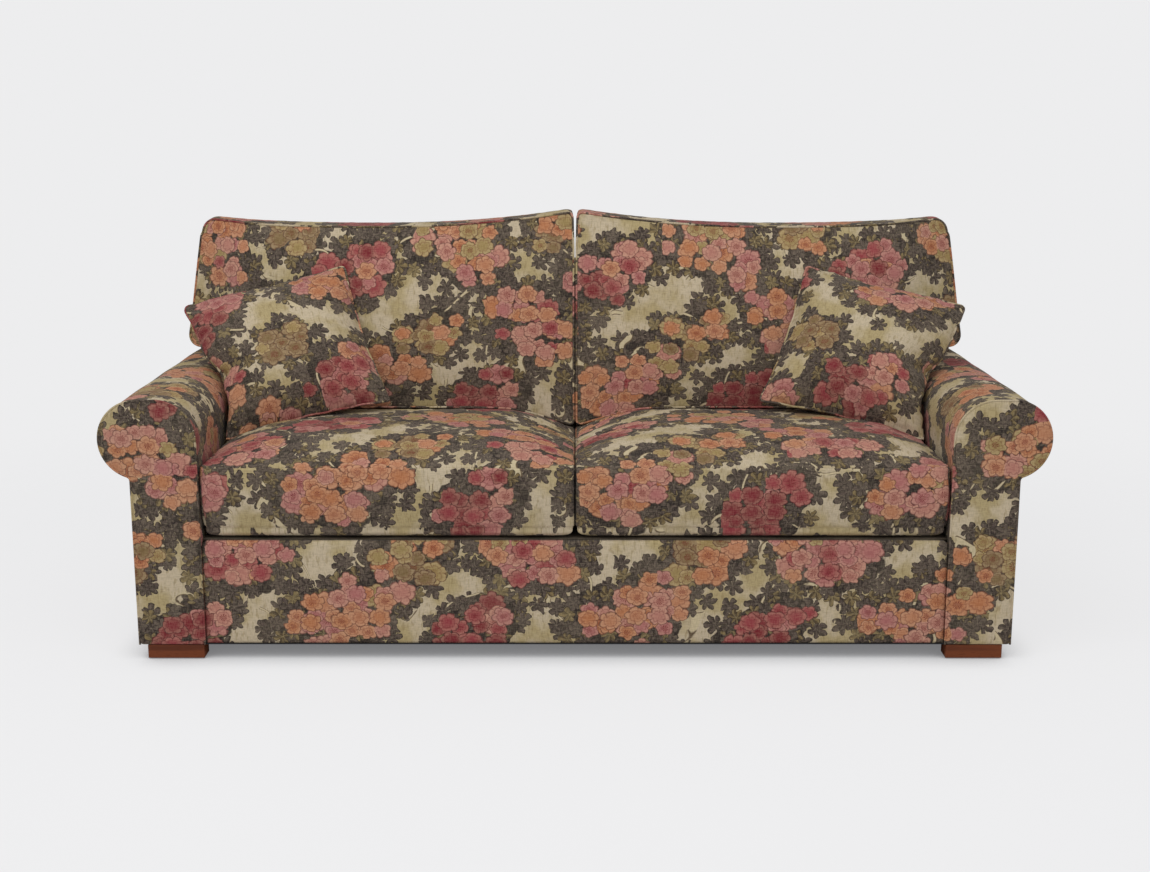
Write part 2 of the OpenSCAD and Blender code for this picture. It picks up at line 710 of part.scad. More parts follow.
// Scatter cushions: knife-edged, with drawn-out corners, pressed against what they lie on
scatter_place = [138, 290, 204];
scatter_mid = [-half_seat + scatter_place[0], seat_reach - scatter_place[1], back_low + scatter_place[2]];
scatter_turn = [-41, -11, 17];
scatter_pull = 15;
scatter_corner_r = 9;
scatter_edge_t = 3;
press_gap = 1;
press_edge = 50;
back_press_gap = 8;
press_give = 0.03;
function turned(p, a) =
    let (x1 = p[0], y1 = p[1] * cos(a[0]) - p[2] * sin(a[0]), z1 = p[1] * sin(a[0]) + p[2] * cos(a[0]),
        x2 = x1 * cos(a[1]) + z1 * sin(a[1]), z2 = z1 * cos(a[1]) - x1 * sin(a[1]))
    [x2 * cos(a[2]) - y1 * sin(a[2]), x2 * sin(a[2]) + y1 * cos(a[2]), z2];
scatter_plan = let (h = scatter_side / 2, r = scatter_corner_r, k = h - r) joined([
    arc([-k, -k], r, 180, 270, 2), side([-k, -h], [k, -h], 7, scatter_pull),
    arc([k, -k], r, 270, 360, 2), side([h, -k], [h, k], 7, scatter_pull),
    arc([k, k], r, 0, 90, 2), side([k, h], [-k, h], 7, scatter_pull),
    arc([-k, k], r, 90, 180, 2), side([-h, k], [-h, -k], 7, scatter_pull)]);
// Front of the left back cushion at a place
function back_face(x, z) = back_edge_y(x, z) - back_bulge(x, z);
// The arm's face on the seat side at a height
arm_press_gap = 10;
function arm_face(z) = z < scroll_z ? -half_seat + arm_press_gap
    : -scroll_x_in + sqrt(max(0, pow(scroll_r + arm_press_gap, 2) - pow(z - scroll_z, 2)));
// A value held back at a limit, with a little give so that the cushion keeps its thickness there
function held(value, limit) = value > limit ? value : limit - (limit - value) * press_give;
function pressed(p) =
    let (z = held(p[2], seat_top(max(p[0], seat_x0 + press_edge), seat_mid[1]) + press_gap),
        x = z < arm_h + arm_press_gap ? held(p[0], arm_face(z)) : p[0],
        y = -held(-p[1], back_press_gap - back_face(x, z)))
    [x, y, z];
function scatter_point(u, v, depth) = pressed(scatter_mid + turned([u, -depth, v], scatter_turn));
// A ring of the left scatter cushion on its back (-1) or its front (1)
function scatter_ring(s, face) = [for (p = scatter_plan)
    let (q = p * s, h = scatter_side / 2,
        belly = scatter_t / 2 * pow(crown_share(q[0] / h, q[1] / h, 2.4), 0.6) * sqrt(1 - pow(s, 8)))
    scatter_point(q[0], q[1], face * (belly + scatter_edge_t))];
scatter_scales = [0.3, 0.55, 0.75, 0.9, 0.98, 1];
scatter_rings = concat([for (s = scatter_scales) scatter_ring(s, -1)],
    [for (i = [len(scatter_scales) - 1:-1:0]) scatter_ring(scatter_scales[i], 1)]);
module left_scatter_cushion() {
    color(fabric_a) placed() skin(scatter_rings, scatter_point(0, 0, -scatter_t / 2 - scatter_edge_t),
        scatter_point(0, 0, scatter_t / 2 + scatter_edge_t));
}
module right_scatter_cushion() {
    mirror([1, 0, 0]) left_scatter_cushion();
}

front_rail();
back_rail();
side_rails();
centre_rails();
corner_blocks();
arm_posts();
arm_top_boards();
arm_facing_boards();
arm_rear_boards();
arm_liners();
back_posts();
back_top_rail();
back_lower_rails();
back_wing_blocks();
seat_springs();
spring_clips();
back_webbing();
seat_deck();
left_arm_foam();
right_arm_foam();
left_arm_cover();
right_arm_cover();
left_arm_facing();
right_arm_facing();
front_border_pad();
front_border_cover();
inside_back_pad();
inside_back_cover();
outside_back_cover();
dust_cover();
left_front_foot();
right_front_foot();
left_rear_foot();
right_rear_foot();
foot_bolts();
foot_glides();
left_seat_cushion();
left_seat_core();
left_seat_zip();
right_seat_cushion();
right_seat_core();
right_seat_zip();
left_back_cushion();
left_back_fill();
left_back_zip();
right_back_cushion();
right_back_fill();
right_back_zip();
left_scatter_cushion();
right_scatter_cushion();
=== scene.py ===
import math

import bmesh
import bpy
import numpy as np
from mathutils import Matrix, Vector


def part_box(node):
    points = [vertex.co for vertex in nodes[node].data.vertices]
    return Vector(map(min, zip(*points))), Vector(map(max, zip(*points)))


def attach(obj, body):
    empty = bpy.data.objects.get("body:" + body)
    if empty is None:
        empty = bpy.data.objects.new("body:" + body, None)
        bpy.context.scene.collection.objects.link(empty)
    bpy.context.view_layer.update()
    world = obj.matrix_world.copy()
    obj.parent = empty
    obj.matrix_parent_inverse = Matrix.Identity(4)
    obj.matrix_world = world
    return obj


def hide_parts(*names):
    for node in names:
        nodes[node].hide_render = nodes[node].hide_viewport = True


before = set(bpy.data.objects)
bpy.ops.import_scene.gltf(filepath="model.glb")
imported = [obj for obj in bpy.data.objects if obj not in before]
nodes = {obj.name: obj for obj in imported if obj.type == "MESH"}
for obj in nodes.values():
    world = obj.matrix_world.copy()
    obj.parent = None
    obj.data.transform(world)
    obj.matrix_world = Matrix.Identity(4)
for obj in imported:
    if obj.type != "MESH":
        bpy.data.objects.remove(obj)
scene = bpy.context.scene
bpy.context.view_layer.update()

# ---------------------------------------------------------------------------
# Studio: the camera stands at chest height in front of the sofa and looks a
# little down. The floor is plain and pale, and runs out into a pale background.
# ---------------------------------------------------------------------------


def placed(name, data):
    made = bpy.data.objects.new(name, data)
    scene.collection.objects.link(made)
    return made


lens = bpy.data.cameras.new("camera")
lens.lens = 50
lens.sensor_width = 36
camera = placed("camera", lens)
eye_back, eye_height, look_down = 4.169, 1.342, 12.05
camera.location = (0.0, -eye_back, eye_height)
camera.rotation_euler = (math.radians(90 - look_down), 0, 0)
scene.camera = camera
scene.view_settings.view_transform = "Standard"


class Wire:
    """A socket of a node tree: sums on it add Math or Vector Math nodes"""

    def __init__(self, tree, socket=None):
        self.tree, self.socket = tree, socket

    def node(self, kind, settings, *values, out=0, **named):
        made = self.tree.nodes.new(kind)
        for key, value in settings.items():
            if key == "stops":
                ramp = made.color_ramp
                while len(ramp.elements) < len(value):
                    ramp.elements.new(0.5)
                for element, (place, colour) in zip(ramp.elements, value):
                    element.position = place
                    element.color = (*colour, 1)
            elif key == "steps":
                made.color_ramp.interpolation = value
            else:
                setattr(made, key, value)
        open_inputs = [s for s in made.inputs if s.enabled]
        for key, value in [*enumerate(values), *named.items()]:
            if value is None:
                continue
            target = (
                next(s for s in open_inputs if s.name.replace(" ", "_") == key)
                if isinstance(key, str)
                else open_inputs[key]
            )
            if isinstance(value, Wire):
                self.tree.links.new(value.socket, target)
                continue
            size = len(target.default_value) if hasattr(target.default_value, "__len__") else 1
            if size > 1 and isinstance(value, (int, float)):
                value = (value,) * size
            elif size == 4 and len(value) == 3:
                value = (*value, 1)
            target.default_value = value
        outs = [s for s in made.outputs if s.enabled]
        names = out if isinstance(out, tuple) else (out,)
        found = [
            Wire(self.tree, outs[o] if isinstance(o, int) else next(s for s in outs if s.name == o))
            for o in names
        ]
        return found if isinstance(out, tuple) else found[0]

    def sum(self, operation, *values):
        flat = self.socket.type != "VECTOR"
        kind = "ShaderNodeMath" if flat else "ShaderNodeVectorMath"
        return self.node(kind, {"operation": operation}, *values)

    def __add__(self, other):
        return self.sum("ADD", self, other)

    def __sub__(self, other):
        return self.sum("SUBTRACT", self, other)

    def __rsub__(self, other):
        return self.sum("SUBTRACT", other, self)

    def __mul__(self, other):
        return self.sum("MULTIPLY", self, other)

    def __truediv__(self, other):
        return self.sum("DIVIDE", self, other)

    def __pow__(self, other):
        return self.sum("POWER", self, other)

    def __lt__(self, other):
        return self.sum("LESS_THAN", self, other)

    def __gt__(self, other):
        return self.sum("GREATER_THAN", self, other)

    def __abs__(self):
        return self.sum("ABSOLUTE", self)


def written(*rgb):
    """A colour as it is read off a screen, 0 to 255, for a shader"""
    return tuple(v / 3294.6 if v <= 10 else ((v / 255 + 0.055) / 1.055) ** 2.4 for v in rgb)


def ease(x, low, high):
    return x.node("ShaderNodeMapRange", {"interpolation_type": "SMOOTHSTEP"}, x, low, high, 0, 1)


def mix(share, under, over):
    wire = share if isinstance(share, Wire) else under
    return wire.node("ShaderNodeMix", {"data_type": "RGBA"}, share, under, over)


def finish_named(name, roughness, specular=0.5, metallic=0.0):
    """A new material with its shader's constant values set, and a wire to start from"""
    material = bpy.data.materials.new(name)
    material.use_nodes = True
    shader = material.node_tree.nodes["Principled BSDF"]
    shader.inputs["Roughness"].default_value = roughness
    shader.inputs["Specular IOR Level"].default_value = specular
    shader.inputs["Metallic"].default_value = metallic
    return material, shader, Wire(material.node_tree)


def bump(height, strength, distance):
    return height.node(
        "ShaderNodeBump", {}, Strength=strength, Distance=distance, Height=height, out="Normal"
    )


def join(wire, shader, socket):
    wire.tree.links.new(wire.socket, shader.inputs[socket])


def noise(place, scale, detail, out=0, kind="3D"):
    settings = {"noise_dimensions": kind}
    return place.node("ShaderNodeTexNoise", settings, Vector=place, Scale=scale, Detail=detail, out=out)


floor_mesh = bpy.data.meshes.new("studio_floor")
floor_mesh.from_pydata([(-7, -6, 0), (7, -6, 0), (7, 7, 0), (-7, 7, 0)], [], [(0, 1, 2, 3)])
studio_floor = placed("studio_floor", floor_mesh)
paper, shader, start = finish_named("studio_paper", 0.9, 0.1)
at = start.node("ShaderNodeTexCoord", {}, out="Object")
paper_grain = noise(at, 3, 2)
join(mix(paper_grain, written(238, 238, 240), written(241, 241, 242)), shader, "Base Color")
spread = at.node("ShaderNodeVectorMath", {"operation": "LENGTH"}, at * (0.8, 1, 0), out="Value")
open_air = start.node("ShaderNodeBsdfTransparent", {})
# to the camera the floor is nearly as pale as the background, and its glow carries a painted shadow, darker close under
# the base where ambient occlusion finds the sofa near
shadow_reach, seen_paper, floor_fades = 0.13, 0.82, (1.3, 3.0)
close_by = start.node("ShaderNodeAmbientOcclusion", {"samples": 8}, Distance=shadow_reach, out="AO")
# painted shadow: the pale paper colour is darkened where ambient occlusion finds the sofa close above
paper_with_painted_shadow = mix(ease(close_by, 0.0, 0.95), written(124, 124, 126), written(241, 241, 242))
lit_paper = start.node("ShaderNodeEmission", {}, paper_with_painted_shadow, 1.0)
eye = start.node("ShaderNodeLightPath", {}, out="Is Camera Ray")
own_paper = Wire(start.tree, shader.outputs["BSDF"])
near_floor = start.node("ShaderNodeMixShader", {}, eye * seen_paper, own_paper, lit_paper)
faded = start.node("ShaderNodeMixShader", {}, ease(spread, *floor_fades), near_floor, open_air)
start.tree.links.new(faded.socket, start.tree.nodes["Material Output"].inputs["Surface"])
studio_floor.data.materials.append(paper)

sky = bpy.data.worlds.new("studio_air")
sky.use_nodes = True
scene.world = sky
air = Wire(sky.node_tree)
rays_seen = ("Is Camera Ray", "Is Glossy Ray", "Is Transmission Ray")
camera_ray, glossy_ray, clear_ray = air.node("ShaderNodeLightPath", {}, out=rays_seen)
seen = camera_ray.sum("MINIMUM", camera_ray + glossy_ray + clear_ray, 1)
background = sky.node_tree.nodes["Background"]
room_light, seen_air = (0.50, 0.50, 0.505), written(237, 237, 238)
join(mix(seen, room_light, seen_air), background, "Color")
background.inputs["Strength"].default_value = 1.0
lamp_width = 2.6
for name, place, aim, watts in [
    ("key", (-1.4, -2.3, 4.0), (0, 0, 0.4), 70),
    ("fill", (1.9, -2.6, 3.4), (0, 0, 0.5), 24),
]:
    lamp = bpy.data.lights.new(name, "AREA")
    lamp.size = lamp_width
    lamp.energy = watts
    stand = placed(name, lamp)
    stand.location = place
    toward = np.array(aim) - np.array(place)
    tip = math.acos(-toward[2] / np.linalg.norm(toward))
    stand.rotation_euler = (tip, 0, math.atan2(toward[1], toward[0]) - math.pi / 2)

# ---------------------------------------------------------------------------
# Feet: four plain hardwood blocks with eased edges and a brown polish, each
# held by a hanger bolt under an arm post and standing on a felt glide.
# ---------------------------------------------------------------------------


def wood_finish(name, pale, dark, grain, roughness, ring=0.020):
    """Straight-grained timber: growth rings drawn out along one axis, and pores"""
    material, shader, start = finish_named(name, roughness, 0.25)
    at = start.node("ShaderNodeTexCoord", {}, out="Object")
    drawn = at * tuple(0.06 if axis == grain else 1.0 for axis in "xyz")
    wander = noise(drawn, 9, 3, "Color")
    bent = drawn + wander.node("ShaderNodeVectorMath", {"operation": "SCALE"}, wander, Scale=0.05)
    rings = noise(bent, 1 / ring, 3)
    pores = noise(drawn, 700, 2)
    tone = mix(ease(rings, 0.35, 0.66), pale, dark)
    tone = mix(ease(pores, 0.56, 0.70) * 0.5, tone, tuple(0.45 * c for c in dark))
    join(tone, shader, "Base Color")
    join(ease(pores, 0.3, 0.8) * 0.18 + (roughness - 0.08), shader, "Roughness")
    join(bump(rings * 0.5 + pores * 0.5, 0.25, 0.0006), shader, "Normal")
    return material


def plain_piece(name, points, faces, material):
    mesh = bpy.data.meshes.new(name)
    mesh.from_pydata([tuple(map(float, p)) for p in points], [], faces)
    mesh.materials.append(material)
    mesh.polygons.foreach_set("use_smooth", [True] * len(mesh.polygons))
    return placed(name, mesh)


foot_wood = wood_finish("foot_wood", written(114, 57, 26), written(90, 42, 18), "x", 0.55)
eased_edge = 0.0018
for name in ["left_front_foot", "right_front_foot", "left_rear_foot", "right_rear_foot"]:
    low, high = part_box(name)
    corners = [(x, y, z) for x in (low[0], high[0]) for y in (low[1], high[1]) for z in (low[2], high[2])]
    sides = [(0, 1, 3, 2), (4, 6, 7, 5), (0, 4, 5, 1), (2, 3, 7, 6), (0, 2, 6, 4), (1, 5, 7, 3)]
    block = plain_piece(name + "_block", corners, sides, foot_wood)
    easing = block.modifiers.new("eased_edges", "BEVEL")
    easing.width = eased_edge
    easing.segments = 3
    easing.harden_normals = True
    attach(block, "sofa_frame")
    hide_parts(name)

# ---------------------------------------------------------------------------
# Frame: hardwood rails and posts glued and screwed together, plywood boards
# and blocks that shape the arms, and a hardboard liner bent round them.
# ---------------------------------------------------------------------------
timber = wood_finish("timber", written(186, 150, 108), written(152, 112, 74), "x", 0.6, 0.014)
upright_timber = wood_finish("upright_timber", written(186, 150, 108), written(152, 112, 74), "z", 0.6, 0.014)
plywood = wood_finish("plywood", written(206, 178, 134), written(184, 150, 106), "x", 0.65, 0.03)
hardboard = wood_finish("hardboard", written(120, 88, 58), written(106, 76, 50), "y", 0.7, 0.004)


def give(names, material):
    for name in names:
        nodes[name].data.materials.clear()
        nodes[name].data.materials.append(material)


give(["front_rail", "back_rail", "back_top_rail", "back_lower_rails"], timber)
upright_names = ["side_rails", "centre_rails", "arm_posts", "arm_top_boards", "back_posts", "back_wing_blocks"]
give(upright_names, upright_timber)
give(["corner_blocks", "arm_facing_boards", "arm_rear_boards"], plywood)
give(["arm_liners"], hardboard)

# ---------------------------------------------------------------------------
# Springs, clips, bolts, glides, webbing and zips: drawn steel wire held by
# pressed clips, zinc-plated hanger bolts, felt glides under the feet, woven
# webbing over the back, and the zips of the cushion covers.
# ---------------------------------------------------------------------------


def metal_finish(name, colour, worn, roughness):
    """Drawn or plated steel with fine scratches and a few dull patches"""
    material, shader, start = finish_named(name, roughness, 0.5, 1.0)
    at = start.node("ShaderNodeTexCoord", {}, out="Object")
    scratch = noise(at * (1, 0.1, 1), 900, 2)
    patch = noise(at, 28, 3)
    join(mix(ease(patch, 0.45, 0.7), colour, worn), shader, "Base Color")
    join(ease(scratch, 0.3, 0.7) * 0.15 + (roughness - 0.05), shader, "Roughness")
    join(bump(scratch, 0.12, 0.0003), shader, "Normal")
    return material


spring_steel = metal_finish("spring_steel", written(146, 148, 150), written(104, 100, 96), 0.38)
zinc = metal_finish("zinc", written(176, 180, 182), written(150, 152, 150), 0.32)
give(["seat_springs"], spring_steel)
give(["spring_clips", "foot_bolts"], zinc)


def thread_finish(name, colour, second, spacing):
    """A plain cloth, tape or felt: threads crossing at a spacing, with slubs and lint"""
    material, shader, start = finish_named(name, 0.9, 0.15)
    at = start.node("ShaderNodeTexCoord", {}, out="Object")
    x, y, z = at.node("ShaderNodeSeparateXYZ", {}, at, out=("X", "Y", "Z"))
    turn = 2 * math.pi / spacing
    warp = abs((x * turn).sum("SINE", x * turn))
    weft = abs(((y + z) * turn).sum("SINE", (y + z) * turn))
    lint = noise(at, 140, 4)
    join(mix(ease(lint, 0.3, 0.7) * 0.6 + warp * 0.2, colour, second), shader, "Base Color")
    join(bump(warp * 0.4 + weft * 0.4 + lint * 0.6, 0.35, 0.0006), shader, "Normal")
    return material


give(["foot_glides"], thread_finish("felt", written(58, 56, 56), written(78, 76, 74), 0.0016))
give(["back_webbing"], thread_finish("webbing", written(142, 130, 100), written(104, 92, 70), 0.004))
zip_names = ["left_seat_zip", "right_seat_zip", "left_back_zip", "right_back_zip"]
give(zip_names, thread_finish("zip_tape", written(96, 86, 74), written(70, 62, 54), 0.0016))

# ---------------------------------------------------------------------------
# Tapestry cloth: a heavy woven cloth with an all-over print of blossom
# bunches, dark leaves and pale stems on a cream ground, slubbed and a little
# faded. It is laid by each piece's own UV map, in metres, so a repeat runs on.
# ---------------------------------------------------------------------------
tapestry, shader, start = finish_named("tapestry", 0.92, 0.12)
shader.inputs["Sheen Weight"].default_value = 0.05
shader.inputs["Sheen Roughness"].default_value = 0.5
repeat = (0.70, 0.62)
# Bunches in one repeat: middle, half width, half height, and a place on the row of petal colours
bunches = [
    (0.12, 0.10, 0.120, 0.074, 0.46),
    (0.20, 0.16, 0.085, 0.064, 0.54),
    (0.45, 0.05, 0.084, 0.066, 0.08),
    (0.51, 0.11, 0.060, 0.052, 0.22),
    (0.30, 0.25, 0.080, 0.058, 0.84),
    (0.36, 0.29, 0.056, 0.048, 0.70),
    (0.61, 0.26, 0.110, 0.074, 0.34),
    (0.55, 0.33, 0.084, 0.058, 0.52),
    (0.06, 0.40, 0.092, 0.064, 0.12),
    (0.14, 0.45, 0.074, 0.060, 0.30),
    (0.37, 0.51, 0.120, 0.070, 0.58),
    (0.44, 0.45, 0.074, 0.060, 0.42),
    (0.64, 0.53, 0.062, 0.054, 0.88),
]
petal_row = [
    (0.00, written(136, 42, 54)),
    (0.12, written(162, 66, 74)),
    (0.24, written(190, 120, 116)),
    (0.36, written(200, 138, 122)),
    (0.47, written(204, 140, 102)),
    (0.60, written(200, 130, 86)),
    (0.70, written(170, 149, 94)),
    (0.84, written(134, 113, 72)),
]
petal_ink = written(78, 32, 36)


def sine(x):
    return x.sum("SINE", x)


def cosine(x):
    return x.sum("COSINE", x)


def length_of(vector):
    return vector.node("ShaderNodeVectorMath", {"operation": "LENGTH"}, vector, out="Value")


def plane_parts(vector):
    return vector.node("ShaderNodeSeparateXYZ", {}, vector, out=("X", "Y", "Z"))


def turn_of(vector):
    x, y, _ = plane_parts(vector)
    return y.sum("ARCTAN2", y, x)


def pick(choice, one, other):
    return choice.node("ShaderNodeMix", {"data_type": "VECTOR"}, choice, one, other)


def nearest_bunches(place):
    """The nearest bunch and the next one: distance, way out and one over the sizes with the colour"""
    best = second = None
    for x, y, wide, tall, colour in bunches:
        to_size, to_middle = (1 / wide, 1 / tall, 0), (-x / wide, -y / tall, 0)
        scaled = place.sum("MULTIPLY_ADD", place, to_size, to_middle)
        half = (repeat[0] / 2 / wide, repeat[1] / 2 / tall, 1)
        way = scaled.sum("WRAP", scaled, half, tuple(-h for h in half))
        here = (length_of(way), way, (1 / wide, 1 / tall, colour))
        if best is None:
            best = here
            continue
        closer = here[0] < best[0]
        further = here[0].sum("MAXIMUM", here[0], best[0])
        if second is None:
            second = (further, *(pick(closer, here[k], best[k]) for k in (1, 2)))
        else:
            next_best = here[0] < second[0]
            second = (
                second[0].sum("MINIMUM", second[0], further),
                *(pick(closer, pick(next_best, second[k], here[k]), best[k]) for k in (1, 2)),
            )
        best = (best[0].sum("MINIMUM", best[0], here[0]), *(pick(closer, best[k], here[k]) for k in (1, 2)))
    return best, second


def motif(place, spacing, shift, loose, size, stretch=(1, 1, 1)):
    """The nearest motif of a loose grid: how far out and at what turn a point lies in it, the
    motif's way out of its bunch, its distance, hue and three chances"""
    at = place + shift
    grid = {"Vector": at, "Scale": 1 / spacing, "Randomness": loose}
    middle, chance = at.node("ShaderNodeTexVoronoi", {"voronoi_dimensions": "2D"}, **grid, out=("Position", "Color"))
    step = at - middle
    local = step * stretch
    first, second = (bunch[1] - step * bunch[2] for bunch in near_bunches)
    near_first, near_second = length_of(first), length_of(second)
    other = near_second < near_first
    way = pick(other, first, second)
    hue = other.node("ShaderNodeMix", {"data_type": "FLOAT"}, other, *hues)
    nearer = near_first.sum("MINIMUM", near_first, near_second)
    chances = chance.node("ShaderNodeSeparateColor", {}, chance, out=("Red", "Green", "Blue"))
    return length_of(local) / size, turn_of(local), way, nearer, hue, chances


def leaf_layer(under, place, spacing, shift, inner, reach, size, inks):
    """Sprigs of rounded leaves fanned out of their bunch, each leaf with a rib and a lit side"""
    out, angle, way, near, _, (first, second, third) = motif(place, spacing, shift, 0.55, size)
    edge = near + (first - 0.5) * 0.34
    kept = (edge < reach) * (edge > inner)
    apart = angle - turn_of(way) - (second - 0.5) * 1.6
    fan = apart.sum("WRAP", apart, math.pi, -math.pi)
    wave = abs(cosine(fan * 3.0))
    rim = ((wave**0.55) * 0.62 + 0.38) * (1 - abs(fan) * 0.11) - out
    dark, lit, ink, rib = inks
    side = sine(fan * 6)
    tone = mix(ease(side * 0.5 + out, 0.15, 1.15), dark, lit)
    tone = mix(ease(third, 0.55, 0.9) * 0.35, tone, rib)
    tone = mix(ease(abs(side) * out, 0.02, 0.09), rib, tone)
    tone = mix(ease(wave, 0.04, 0.30) * ease(rim, 0.05, 0.15), ink, tone)
    return mix(ease(rim, 0.0, 0.05) * kept, under, tone)


def blossom_layer(under, place, spacing, shift, reach, size, petals, notch):
    """Blossoms of notched petals, pale at the rim with a darker fold, red ticks and an inked outline"""
    out, angle, _, near, hue, (first, second, third) = motif(place, spacing, shift, 0.5, size, (1, 1.18, 1))
    kept = (near + (first - 0.5) * 0.32) < reach
    angle = angle + second * 6.28
    wave = abs(cosine(angle * (petals / 2)))
    petal = wave**0.5
    rim = petal * notch + (1 - notch) - out
    row = hue + (third - 0.5) * 0.44
    flower = row.node("ShaderNodeValToRGB", {"stops": petal_row, "steps": "CONSTANT"}, row, out="Color")
    deep = mix(0.62, flower, written(104, 32, 38))
    tone = mix(ease(out, 0.20, 0.95) * 0.75, mix(0.26, flower, deep), mix(0.30, flower, written(226, 194, 162)))
    tone = mix((1 - ease(wave, 0.04, 0.30)) * ease(out, 0.30, 0.55) * 0.85, tone, deep)
    tone = mix((1 - ease(abs(petal * 0.16 + 0.42 - out), 0.02, 0.08)) * 0.55, tone, deep)
    ticks = ease(abs(cosine(angle * petals)), 0.6, 0.95) * (1 - ease(out, 0.24, 0.40))
    tone = mix(ticks * ease(first, 0.3, 0.4), tone, written(118, 34, 38))
    tone = mix(ease(rim, 0.05, 0.16), mix(0.78, flower, petal_ink), tone)
    return mix(ease(rim, 0.0, 0.04) * kept, under, tone)


cloth_place = start.node("ShaderNodeTexCoord", {}, out="UV")
quiver = noise(cloth_place, 60, 1, "Color", "2D")
drawn_place = cloth_place.sum("MULTIPLY_ADD", quiver, (0.010, 0.010, 0), cloth_place)
near_bunches = nearest_bunches(drawn_place)
near = near_bunches[0][0]
hues = [plane_parts(bunch[2])[2] for bunch in near_bunches]
wash = noise(cloth_place, 11, 3, kind="2D")
colour = mix(ease(wash, 0.38, 0.66), written(204, 188, 160), written(182, 164, 120))
strokes = noise(cloth_place * (150, 42, 1), 1, 2, kind="2D")
colour = mix(ease(strokes, 0.56, 0.70) * 0.45, colour, written(146, 126, 82))
# leaf inks: the dark side, the lit side, the outline and the rib
charcoal = (written(62, 53, 49), written(94, 81, 74), written(40, 34, 34), written(116, 103, 91))
olive = (written(84, 70, 50), written(136, 117, 78), written(52, 43, 37), written(156, 139, 98))
colour = leaf_layer(colour, drawn_place, 0.052, (3.11, 1.7, 0), 0.5, 1.54, 0.031, charcoal)
colour = mix(ease(near + (wash - 0.5) * 0.7, 1.22, 1.17), colour, written(48, 41, 39))
colour = leaf_layer(colour, drawn_place, 0.048, (6.31, 3.9, 0), 0.5, 1.44, 0.029, charcoal)
# pale stems that wander out of the bunches
bend = noise(cloth_place + (2.2, 4.4, 0), 6, 1, kind="2D")
zone = (near < 1.55) * (near > 0.55) * ease(wash, 0.50, 0.47)
stem = abs(bend - 0.5)
colour = mix((1 - ease(stem, 0.014, 0.019)) * zone, colour, written(96, 78, 60))
colour = mix((1 - ease(stem, 0.009, 0.013)) * zone, colour, written(208, 192, 156))
colour = leaf_layer(colour, drawn_place, 0.050, (7.43, 5.2, 0), 0.5, 1.34, 0.026, olive)
colour = leaf_layer(colour, drawn_place, 0.046, (1.93, 9.4, 0), 0.4, 1.30, 0.026, charcoal)
colour = blossom_layer(colour, drawn_place, 0.066, (5.1, 2.3, 0), 0.90, 0.038, 7, 0.24)
colour = blossom_layer(colour, drawn_place, 0.045, (8.7, 6.1, 0), 0.92, 0.0235, 5, 0.28)
colour = blossom_layer(colour, drawn_place, 0.056, (2.6, 8.2, 0), 0.80, 0.029, 6, 0.24)
# the weave: slubs across and along, thin places and fading
slub_across = noise(cloth_place * (520, 70, 0), 1, 2, kind="2D")
slub_along = noise(cloth_place * (60, 440, 0), 1, 2, kind="2D")
heather = (slub_across + slub_along) * 0.5
fading = noise(cloth_place, 8, 2, kind="2D")
colour = mix(ease(heather, 0.42, 0.62) * 0.16 + ease(fading, 0.4, 0.75) * 0.06, colour, written(176, 162, 134))
colour = mix(ease(heather, 0.58, 0.40) * 0.22, colour, written(58, 48, 43))
join(colour, shader, "Base Color")
thread_pair = 0.0018
x, y, _ = plane_parts(cloth_place * (2 * math.pi / thread_pair))
weave = sine(x) * sine(y)
join(bump(weave * 0.25 + heather * 0.9, 0.35, 0.0008), shader, "Normal")

# ---------------------------------------------------------------------------
# Arms: foam and a tight cloth cover drawn over each scroll and down both
# sides, closed in front by a lightly padded facing with a thin piped edge.
# ---------------------------------------------------------------------------
foam, shader, start = finish_named("foam", 0.95, 0.1)
at = start.node("ShaderNodeTexCoord", {}, out="Object")
cells = at.node("ShaderNodeTexVoronoi", {}, Vector=at, Scale=420, out="Distance")
yellowing = noise(at, 7, 3)
join(mix(ease(yellowing, 0.35, 0.7), written(228, 222, 200), written(214, 202, 164)), shader, "Base Color")
join(bump(cells, 0.4, 0.001), shader, "Normal")

# the sofa is centred on the frame, and its shapes are set out from the front of the arms
half_depth = 0.485
arm_in, scroll_in, scroll_out, panel_out = 0.898, 0.993, 1.033, 1.057
scroll_height, scroll_radius, frame_low = 0.545, 0.095, 0.037
under_radius = 0.010


def arc(middle, radius, first, last, spacing=0.006):
    count = max(3, int(abs(math.radians(last - first)) * radius / spacing) + 1)
    return [
        (middle[0] + radius * math.cos(a), middle[1] + radius * math.sin(a))
        for a in np.radians(np.linspace(first, last, count))
    ]


def run_along(points, closed=False):
    """The length along a line at each of its points, and at last round to the first of a closed one"""
    ahead = np.roll(points, -1, 0) - points if closed else np.diff(points, axis=0)
    return np.r_[0, np.cumsum(np.linalg.norm(ahead, axis=1))]


def unit(rows):
    return rows / np.linalg.norm(rows, axis=1)[:, None]


def evened(path, spacing):
    """The same line with its points spread evenly, and the length along it at each"""
    path = np.array(path)
    run = run_along(path)
    steps = np.linspace(0, run[-1], max(2, round(run[-1] / spacing)) + 1)
    return np.stack([np.interp(steps, run, path[:, k]) for k in range(path.shape[1])], 1), steps


def arm_line(inset):
    """Front outline of the left arm from the foot of its inner side over the scroll to the outer foot"""
    r = scroll_radius - inset
    side_x = panel_out - inset
    across = math.sqrt((r + under_radius) ** 2 - (side_x + under_radius - scroll_out) ** 2)
    fillet = (-(side_x + under_radius), scroll_height - across)
    meet = math.degrees(math.atan2(fillet[1] - scroll_height, fillet[0] + scroll_out))
    over = arc((-scroll_in, scroll_height), r, 0, 90) + arc((-scroll_out, scroll_height), r, 90, 360 + meet)
    under = arc(fillet, under_radius, 180 + meet, 0, 0.003)
    return [(-(arm_in + inset), frame_low)] + over + under + [(-side_x, frame_low)]


